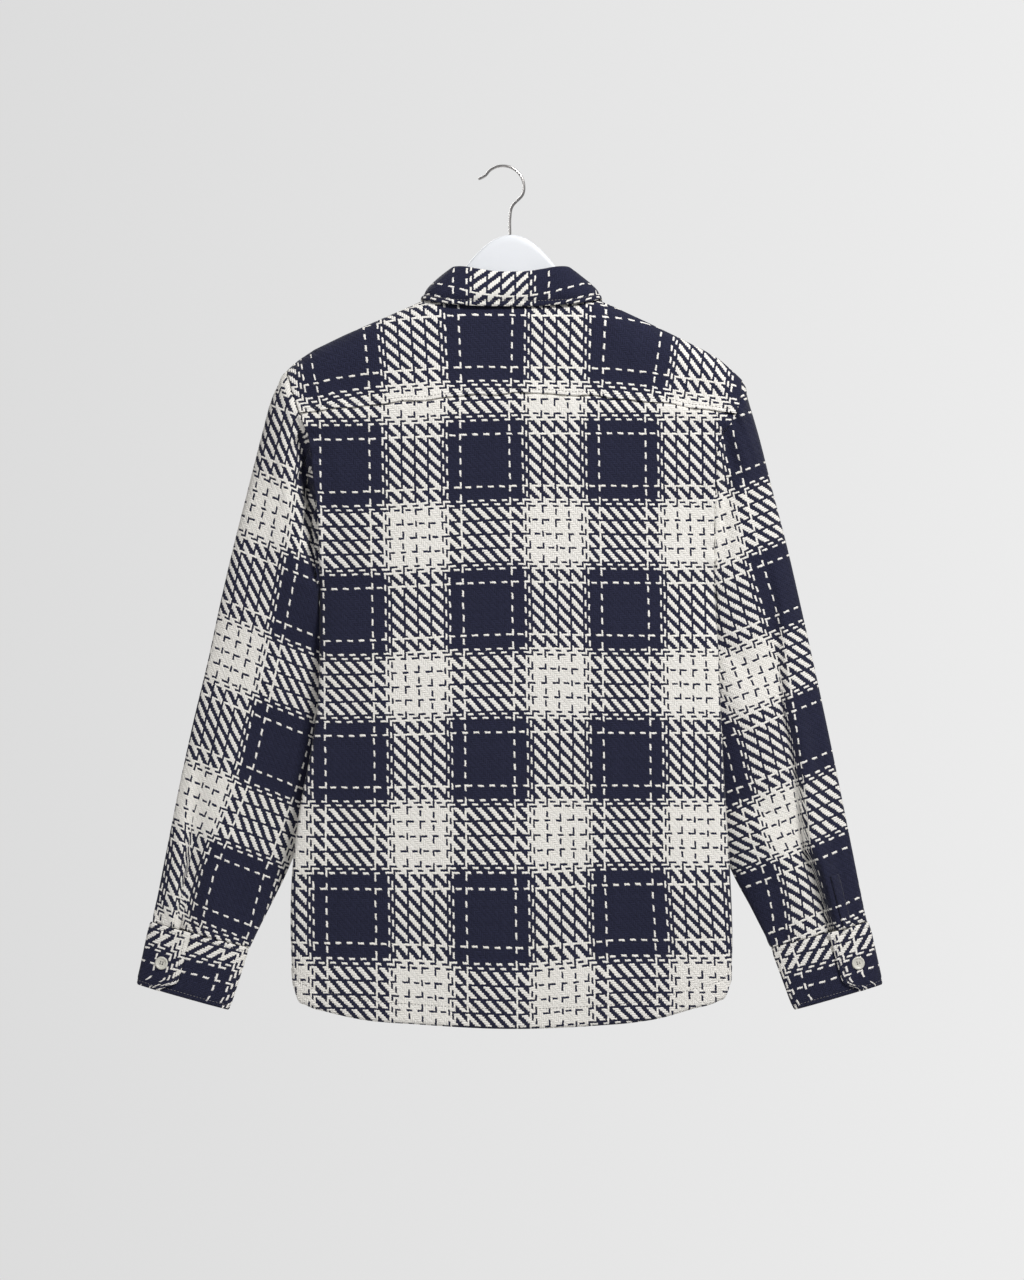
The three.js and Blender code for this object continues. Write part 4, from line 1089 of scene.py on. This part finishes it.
# %% Collar fall
fall_share = np.concatenate([np.linspace(0, 5, 26), np.linspace(5, 8, 36)[1:]])
fall_points = curve_rows(round_neck(fall_rows, 230), fall_share)
fold_row = int(np.abs(fall_share - 3).argmin())
down_leaf = run(fall_points, 0)
down_leaf = down_leaf - down_leaf[fold_row]
along_leaf = run(fall_points, 1)
behind_neck = slice(60, -60)
middle_at = [
    np.interp(FALL_WEFT_X, row_x, row_run)
    for row_x, row_run in zip(fall_points[:, behind_neck, 0], along_leaf[:, behind_neck])
]
leftwards = np.array(middle_at)[:, None] - along_leaf
fall_grain = np.stack([FALL_WARP * WARP_PITCH + down_leaf, FALL_WEFT * WEFT_PITCH + leftwards], axis=-1)
to_edge = np.minimum(
    run(fall_points[::-1], 0)[::-1], np.minimum(along_leaf, along_leaf[:, -1:] - along_leaf)
)
sewn = sewn_edge(to_edge, 6, 1.6, 0.9, 0.9, 2.2)
soft = 0.6 * ease(to_edge, 7, 14) + pucker(along_leaf, to_edge - 6, 7, 0.25, 0.5)
wander = 0.8 * np.sin(along_leaf / 26 + 0.8) * ease(down_leaf, 4, 24)
fall_points = fall_points + outward(fall_points) * (sewn + soft + wander)[..., None]
cloth("collar_fall_leaf", fall_points, fall_grain, wall=2.0, replaced=["collar_fall"])

# %% [markdown]
# ## The hanger
# The hanger is a flat shaped board, sprayed white, with its edges rounded over. An extruded outline with a
# bevel would keep hard creases, so it is made like a loaf: slices across it from tip to tip, each a rounded
# rectangle whose top and bottom follow the board's outline.

# %% Satin lacquer sprayed on wood: an even white with a soft shine and the faint ripple of spray
lacquer = new_material("wood_satin_lacquer_white")
coat = lacquer.node_tree
on_board = put(coat, "TexCoord").outputs["Object"]
spray = put(coat, "TexNoise", on_board, Scale=420.0, Detail=2.0)
cloudy = put(coat, "TexNoise", on_board, Scale=14.0, Detail=3.0)
white = put(coat, "Mix", cloudy, linear("E8EAED"), linear("E3E5E8"), data_type="RGBA")
shine = put(coat, "MapRange", cloudy, 0.3, 0.7, 0.36, 0.44)
ripple = put(coat, "Bump", Strength=0.12, Distance=0.0003, Height=spray)
lacquer_shader = put(coat, "BsdfPrincipled", white, Roughness=shine, Normal=ripple)
put(coat, "OutputMaterial", lacquer_shader)
print(len(coat.nodes), "nodes in", lacquer.name)

# %% Hanger board
DOME = {"x": [0, 18, 34, 47, 57, 67, 76, 84], "z": [-70.4, -75.5, -88.5, -103.7, -117.5, -133, -141.5, -142]}
BOARD_LOW = {"x": [-219, -160, -90, 0, 90, 160, 219], "z": [-226, -197, -171, -161, -171, -200, -229]}
BOARD_TIP, BOARD_DEPTH, BOARD_ROUND = 219.0, 12.0, 4.5
SLICES, SLICE_SIDES = 260, 64
board_x = BOARD_TIP * np.sin(np.linspace(-0.5, 0.5, SLICES) * math.pi)
dome_x = np.concatenate([-np.array(DOME["x"][:0:-1]), DOME["x"]])
dome_top = follow(board_x, dome_x, DOME["z"][:0:-1] + DOME["z"])
arm_top = ridge_z(board_x) - 2.7
board_top = np.where(np.abs(board_x) < DOME["x"][-1], dome_top, arm_top)
board_low = follow(board_x, BOARD_LOW["x"], BOARD_LOW["z"])
to_tip = BOARD_TIP - np.abs(board_x)
closing = np.sqrt(np.clip(1 - (1 - np.clip(to_tip / 9, 0, 1)) ** 2, 0, 1))
board_mid, board_half = (board_top + board_low) / 2, (board_top - board_low) / 2 * closing
round_slice = turns(SLICE_SIDES)[None, :]


def rounded_slice(half_high, half_deep, radius, turn):
    """A rounded rectangle: a circle whose quarters are pushed apart, quickly as sine or cosine leaves 0."""
    radius = np.minimum(radius, np.minimum(half_high, half_deep))
    across = np.sign(np.cos(turn)) * (half_deep - radius) * np.clip(np.abs(np.cos(turn)) * 3, 0, 1)
    upward = np.sign(np.sin(turn)) * (half_high - radius) * np.clip(np.abs(np.sin(turn)) * 3, 0, 1)
    return across + radius * np.cos(turn), upward + radius * np.sin(turn)


half_depth = BOARD_DEPTH / 2 * closing
slice_y, slice_z = rounded_slice(board_half[:, None], half_depth[:, None], BOARD_ROUND, round_slice)
board_points = np.stack([board_x[:, None] + 0 * slice_y, slice_y, board_mid[:, None] + slice_z], axis=-1)
board_cells = cells(SLICES, SLICE_SIDES, closed=True)
mesh_piece("hanger_board", board_points, board_cells, lacquer, ["hanger_body"], poles=True)
print("board", round(2 * BOARD_TIP), "mm from tip to tip")

# %% [markdown]
# ## The hook
# The hook is one length of bright steel wire: a straight stem, a bend to the right, an arc over the rail and
# a tip turned out. A circle carried along that path makes it, and the circle shrinks at both ends, so the
# wire's cut ends are rounded.

# %% Drawn steel wire, bright nickel plated: a soft mirror, with the faint lines of the drawing along it
wire = new_material("steel_wire_bright_nickel")
plating = wire.node_tree
on_wire = put(plating, "TexCoord").outputs["Object"]
lines = put(plating, "TexNoise", put(plating, "Mapping", on_wire, Scale=(3000, 3000, 150)), Scale=1.0)
draw_lines = put(plating, "Bump", Strength=0.015, Distance=0.0001, Height=lines)
wear = put(plating, "TexNoise", on_wire, Scale=160.0, Detail=4.0)
dulled = put(plating, "MapRange", wear, 0.35, 0.65, 0.2, 0.28)
tint = put(plating, "Mix", wear, linear("DBD8D5"), linear("CFCBC8"), data_type="RGBA")
wire_shader = put(plating, "BsdfPrincipled", tint, Metallic=1.0, Roughness=dulled, Normal=draw_lines)
put(plating, "OutputMaterial", wire_shader)
print(len(plating.nodes), "nodes in", wire.name)

# %% Hook
WIRE_RADIUS, HOOK_RADIUS = 1.4, 21.9
WIRE_RINGS, WIRE_SIDES = 260, 24
arc = np.radians([-24, 2, 28, 54, 79, 104, 128, 148])
arc_x = -CENTRE_X + HOOK_RADIUS * np.cos(arc)
arc_z = WIRE_RADIUS - HOOK_RADIUS + HOOK_RADIUS * np.sin(arc)
stem, tip = [(-1, 0, -86), (-1, 0, -68), (-1, 0, -53), (1.5, 0, -40.6)], (-34, 0, -12.6)
hook_control = np.array([*stem, *np.stack([arc_x, 0 * arc, arc_z], axis=-1), tip])
path_at = np.linspace(0, len(hook_control) - 1, WIRE_RINGS)
hook_path = curve_rows(hook_control[:, None], path_at)[:, 0]
ahead = unit(np.gradient(hook_path, axis=0))
travel = run(hook_path[:, None], 0)[:, 0]
to_end = np.minimum(travel, travel[-1] - travel)
thin = WIRE_RADIUS * np.sqrt(np.clip(1 - (1 - np.clip(to_end / WIRE_RADIUS, 0, 1)) ** 2, 0, 1))
beside, behind = np.cross(ahead, (0, 1, 0))[:, None], np.array([0.0, 1.0, 0.0])
turn = turns(WIRE_SIDES)[None, :, None]
circle = np.cos(turn) * beside + np.sin(turn) * behind
hook_points = hook_path[:, None] + thin[:, None, None] * circle
hook_cells = cells(WIRE_RINGS, WIRE_SIDES, closed=True)
mesh_piece("hook_wire", hook_points, hook_cells, wire, ["hanger_hook"], poles=True)
print("hook", round(travel[-1]), "mm of wire")

# %% [markdown]
# ## Buttons
# A shirt button is turned from a rod of resin: a flat disc with a raised rim, a shallow dish and four holes.
# Each one is a disc of rings and spokes. Its height at each point is a rim curve less four small wells for
# the holes. Real holes would need cuts in the grid, and at this size a well under a thread looks the same.

# %% Polyester resin button, turned and tumbled: milky off-white with faint clouds and a soft shine
resin = new_material("polyester_resin_off_white")
milk = resin.node_tree
on_button = put(milk, "TexCoord").outputs["Object"]
clouds = put(milk, "TexNoise", on_button, Scale=260.0, Detail=3.0, Distortion=0.6)
milky = put(milk, "Mix", clouds, linear("DCDAD0"), linear("CBC8BC"), data_type="RGBA")
polish = put(milk, "MapRange", clouds, 0.35, 0.65, 0.28, 0.42)
resin_shader = put(milk, "BsdfPrincipled", milky, Roughness=polish, Specular_IOR_Level=0.5)
put(milk, "OutputMaterial", resin_shader)
print(len(milk.nodes), "nodes in", resin.name)

# %% Sewing thread, spun polyester: a matt grey yarn between navy and cream, so that it sinks into both
thread_look = new_material("polyester_thread_grey")
spun = thread_look.node_tree
on_thread = put(spun, "TexCoord").outputs["Object"]
fibres = put(spun, "TexNoise", on_thread, Scale=2600.0, Detail=2.0)
grey = put(spun, "Mix", fibres, linear("8F8C8A"), linear("7A7878"), data_type="RGBA")
twist = put(spun, "Bump", Strength=0.4, Distance=0.0002, Height=fibres)
thread_shader = put(spun, "BsdfPrincipled", grey, Roughness=0.85, Normal=twist)
put(spun, "OutputMaterial", thread_shader)
print(len(spun.nodes), "nodes in", thread_look.name)

# %% Profile of a button
BUTTON_RADIUS, BUTTON_DEPTH = 6.8, 2.6
PROFILE_R = [0, 2.2, 3.6, 4.3, 4.9, 5.5, 6.1, 6.6, 6.8, 6.6, 6.0, 3.2, 0]
PROFILE_H = [1.72, 1.72, 1.76, 1.95, 2.35, 2.58, 2.56, 2.1, 1.25, 0.5, 0.1, 0, 0]
HOLE_SPREAD, HOLE_RADIUS, HOLE_DEPTH = 1.25, 0.62, 1.1
DISC_RINGS, DISC_SPOKES = 74, 56
BAR_STEPS, BAR_SIDES = 9, 8
profile_at = range(len(PROFILE_R))
ring_at = np.linspace(0, len(PROFILE_R) - 1, DISC_RINGS)
spoke = turns(DISC_SPOKES)
profile_r = np.clip(follow(ring_at, profile_at, PROFILE_R), 0, BUTTON_RADIUS)[:, None]
profile_r[[0, -1]] = 0
disc_x, disc_y = profile_r * np.cos(spoke), profile_r * np.sin(spoke)
disc_h = follow(ring_at, profile_at, PROFILE_H)[:, None] + 0 * disc_x
on_top = (ring_at < 4)[:, None]
for hole_x, hole_y in ((1, 1), (1, -1), (-1, 1), (-1, -1)):
    from_hole = np.hypot(disc_x - hole_x * HOLE_SPREAD, disc_y - hole_y * HOLE_SPREAD)
    disc_h = disc_h - on_top * HOLE_DEPTH * np.exp(-((from_hole / HOLE_RADIUS) ** 4))


# %% Thread bars, and a button's seat
def bar(start, end, radius, lift):
    """A thread from start to end: a half sine that lifts it, with a circle carried along it."""
    share = np.linspace(0, 1, BAR_STEPS)[:, None]
    path = start + (end - start) * share
    path[:, 2] += lift * np.sin(np.pi * share[:, 0])
    side = np.cross(unit(end - start), (0, 0, 1.0))
    turn = turns(BAR_SIDES)[:, None]
    round_thread = np.cos(turn) * np.array([0, 0, 1.0]) + np.sin(turn) * side
    thick = radius * np.sqrt(np.clip(1 - (2 * share - 1) ** 6, 0, 1))
    return path[:, None] + thick[..., None] * round_thread[None]


def button_frame(node, normal, upwards):
    """A button's seat and its three directions, from the middle of its box in the frame."""
    low, high = (np.array(corner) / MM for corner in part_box(node))
    normal = unit(normal)
    right = unit(np.cross(upwards, normal))
    seat = (low + high) / 2 - (CENTRE_X, 0, 0) - normal * BUTTON_DEPTH / 2
    return seat, np.array([right, np.cross(normal, right), normal])


def add_button(node, normal, upwards):
    """The disc and its two bars of thread, turned to stand on the cloth."""
    seat, axes = button_frame(node, normal, upwards)
    disc = np.stack([disc_x, disc_y, disc_h], axis=-1) @ axes + seat
    disc_cells = cells(DISC_RINGS, DISC_SPOKES, closed=True)[:, ::-1]
    mesh_piece(node + "_disc", disc, disc_cells, resin, [node], poles=True)
    ends = [[np.array([x, y, 1.2 / HOLE_SPREAD]) * HOLE_SPREAD for y in (-1, 1)] for x in (-1, 1)]
    bars = np.array([bar(*pair, 0.36, 0.85) for pair in ends])
    bar_cells = cells(BAR_STEPS, BAR_SIDES, closed=True)
    faces = np.concatenate([bar_cells, bar_cells + BAR_STEPS * BAR_SIDES])
    mesh_piece(node + "_thread", bars @ axes + seat, faces, thread_look, poles=True)


# %% Buttons down the front and on the cuffs
for k in range(1, 8):
    add_button(f"button_front_{k}", np.array([0.0, 1, 0]), np.array([0.0, 0, 1]))
for side, word in BOTH_SIDES:
    on_cuff = cuff_surface(side, np.array([0.57, 0.62, 0.57]), 2 * np.pi + np.radians([54, 54, 57]))
    normal = np.cross(on_cuff[1] - on_cuff[0], on_cuff[2] - on_cuff[0])
    add_button("button_cuff_" + word, -normal * np.sign(normal[1]), on_cuff[0] - on_cuff[1])
print("buttons", 2 * BUTTON_RADIUS, "mm across")

# %% [markdown]
# ## Stitching
# The seams are topstitched with a thin grey thread that sinks between the thick yarns, so it shows as short
# dashes. A texture could draw them, but in a close view a stitch is a small arch of thread, so each is a thin
# bar with a few faces. A line is found a set distance inside the edge of a sheet, and bars are laid along it.

# %% Lines of stitches
STITCH_PITCH, STITCH_LENGTH, THREAD_RADIUS = 3.5, 2.5, 0.27
THICKNESS = np.array([0, 0.8, 1, 0.8, 0])  # along a stitch, as shares of the thread's
STITCH_SIDES = 6
stitches = []


def inset_line(points, inset, edge):
    """The line a set distance inside one edge of a grid, found along each row or column, and its normals."""
    grid = np.stack([points, outward(points)])
    if edge in ("left", "right"):
        grid = grid.transpose(0, 2, 1, 3)
    if edge in ("bottom", "right"):
        grid = grid[:, ::-1]
    distance = run(grid[0], 0)
    k = np.maximum((distance < inset).sum(axis=0), 1)
    line = np.arange(distance.shape[1])
    before, after = distance[k - 1, line], distance[k, line]
    share = ((inset - before) / (after - before))[:, None]
    return grid[:, k - 1, line] * (1 - share) + grid[:, k, line] * share


def stitch(path, normals, start=6.0, end=6.0):
    """Bars of thread along a path: a circle of six carried along a low arch, thin at both ends."""
    travel = run(path[:, None], 0)[:, 0]
    first = np.arange(start, travel[-1] - end - STITCH_LENGTH, STITCH_PITCH)
    share = np.linspace(0, 1, len(THICKNESS))
    at = first[:, None] + STITCH_LENGTH * share[None]
    centre = np.stack([np.interp(at, travel, path[:, k]) for k in range(3)], axis=-1)
    normal = np.stack([np.interp(at, travel, normals[:, k]) for k in range(3)], axis=-1)
    centre = centre + normal * (0.05 + 0.4 * np.sin(np.pi * share))[None, :, None]
    ahead = centre[:, -1:] - centre[:, :1]
    side = np.cross(unit(ahead), normal)
    turn = turns(STITCH_SIDES)[None, None, :, None]
    thick = THREAD_RADIUS * THICKNESS[None, :, None, None]
    bars = centre[:, :, None] + thick * (np.cos(turn) * side[:, :, None] + np.sin(turn) * normal[:, :, None])
    stitches.append(bars)


# %% Rows of stitches on each piece
stitch(*inset_line(back_points, HEM_TURN, "bottom"))
stitch(*inset_line(yoke_points, 4.0, "top") * np.array([1, -1])[:, None, None])
stitch(*inset_line(band_points, 5.0, "left"))
stitch(*inset_line(band_points, 5.0, "right"))
stitch(*inset_line(fall_points, 6.0, "bottom"), 10, 10)
for word in ("left", "right"):
    stitch(*inset_line(front_points[word], HEM_TURN, "bottom"))
    for edge in ("top", "bottom"):
        stitch(*inset_line(cuff_points[word], 5.0, edge))
    stitch(*inset_line(cuff_points[word], 5.0, "right" if word == "left" else "left"))
stitched = np.concatenate(stitches)
one_stitch = cells(len(THICKNESS), STITCH_SIDES, closed=True)[None]
first_corner = len(THICKNESS) * STITCH_SIDES * np.arange(len(stitched))[:, None, None]
bar_faces = (one_stitch + first_corner).reshape(-1, 4)
mesh_piece("seam_stitches", stitched, bar_faces, thread_look, poles=True)
print(len(stitched), "stitches")
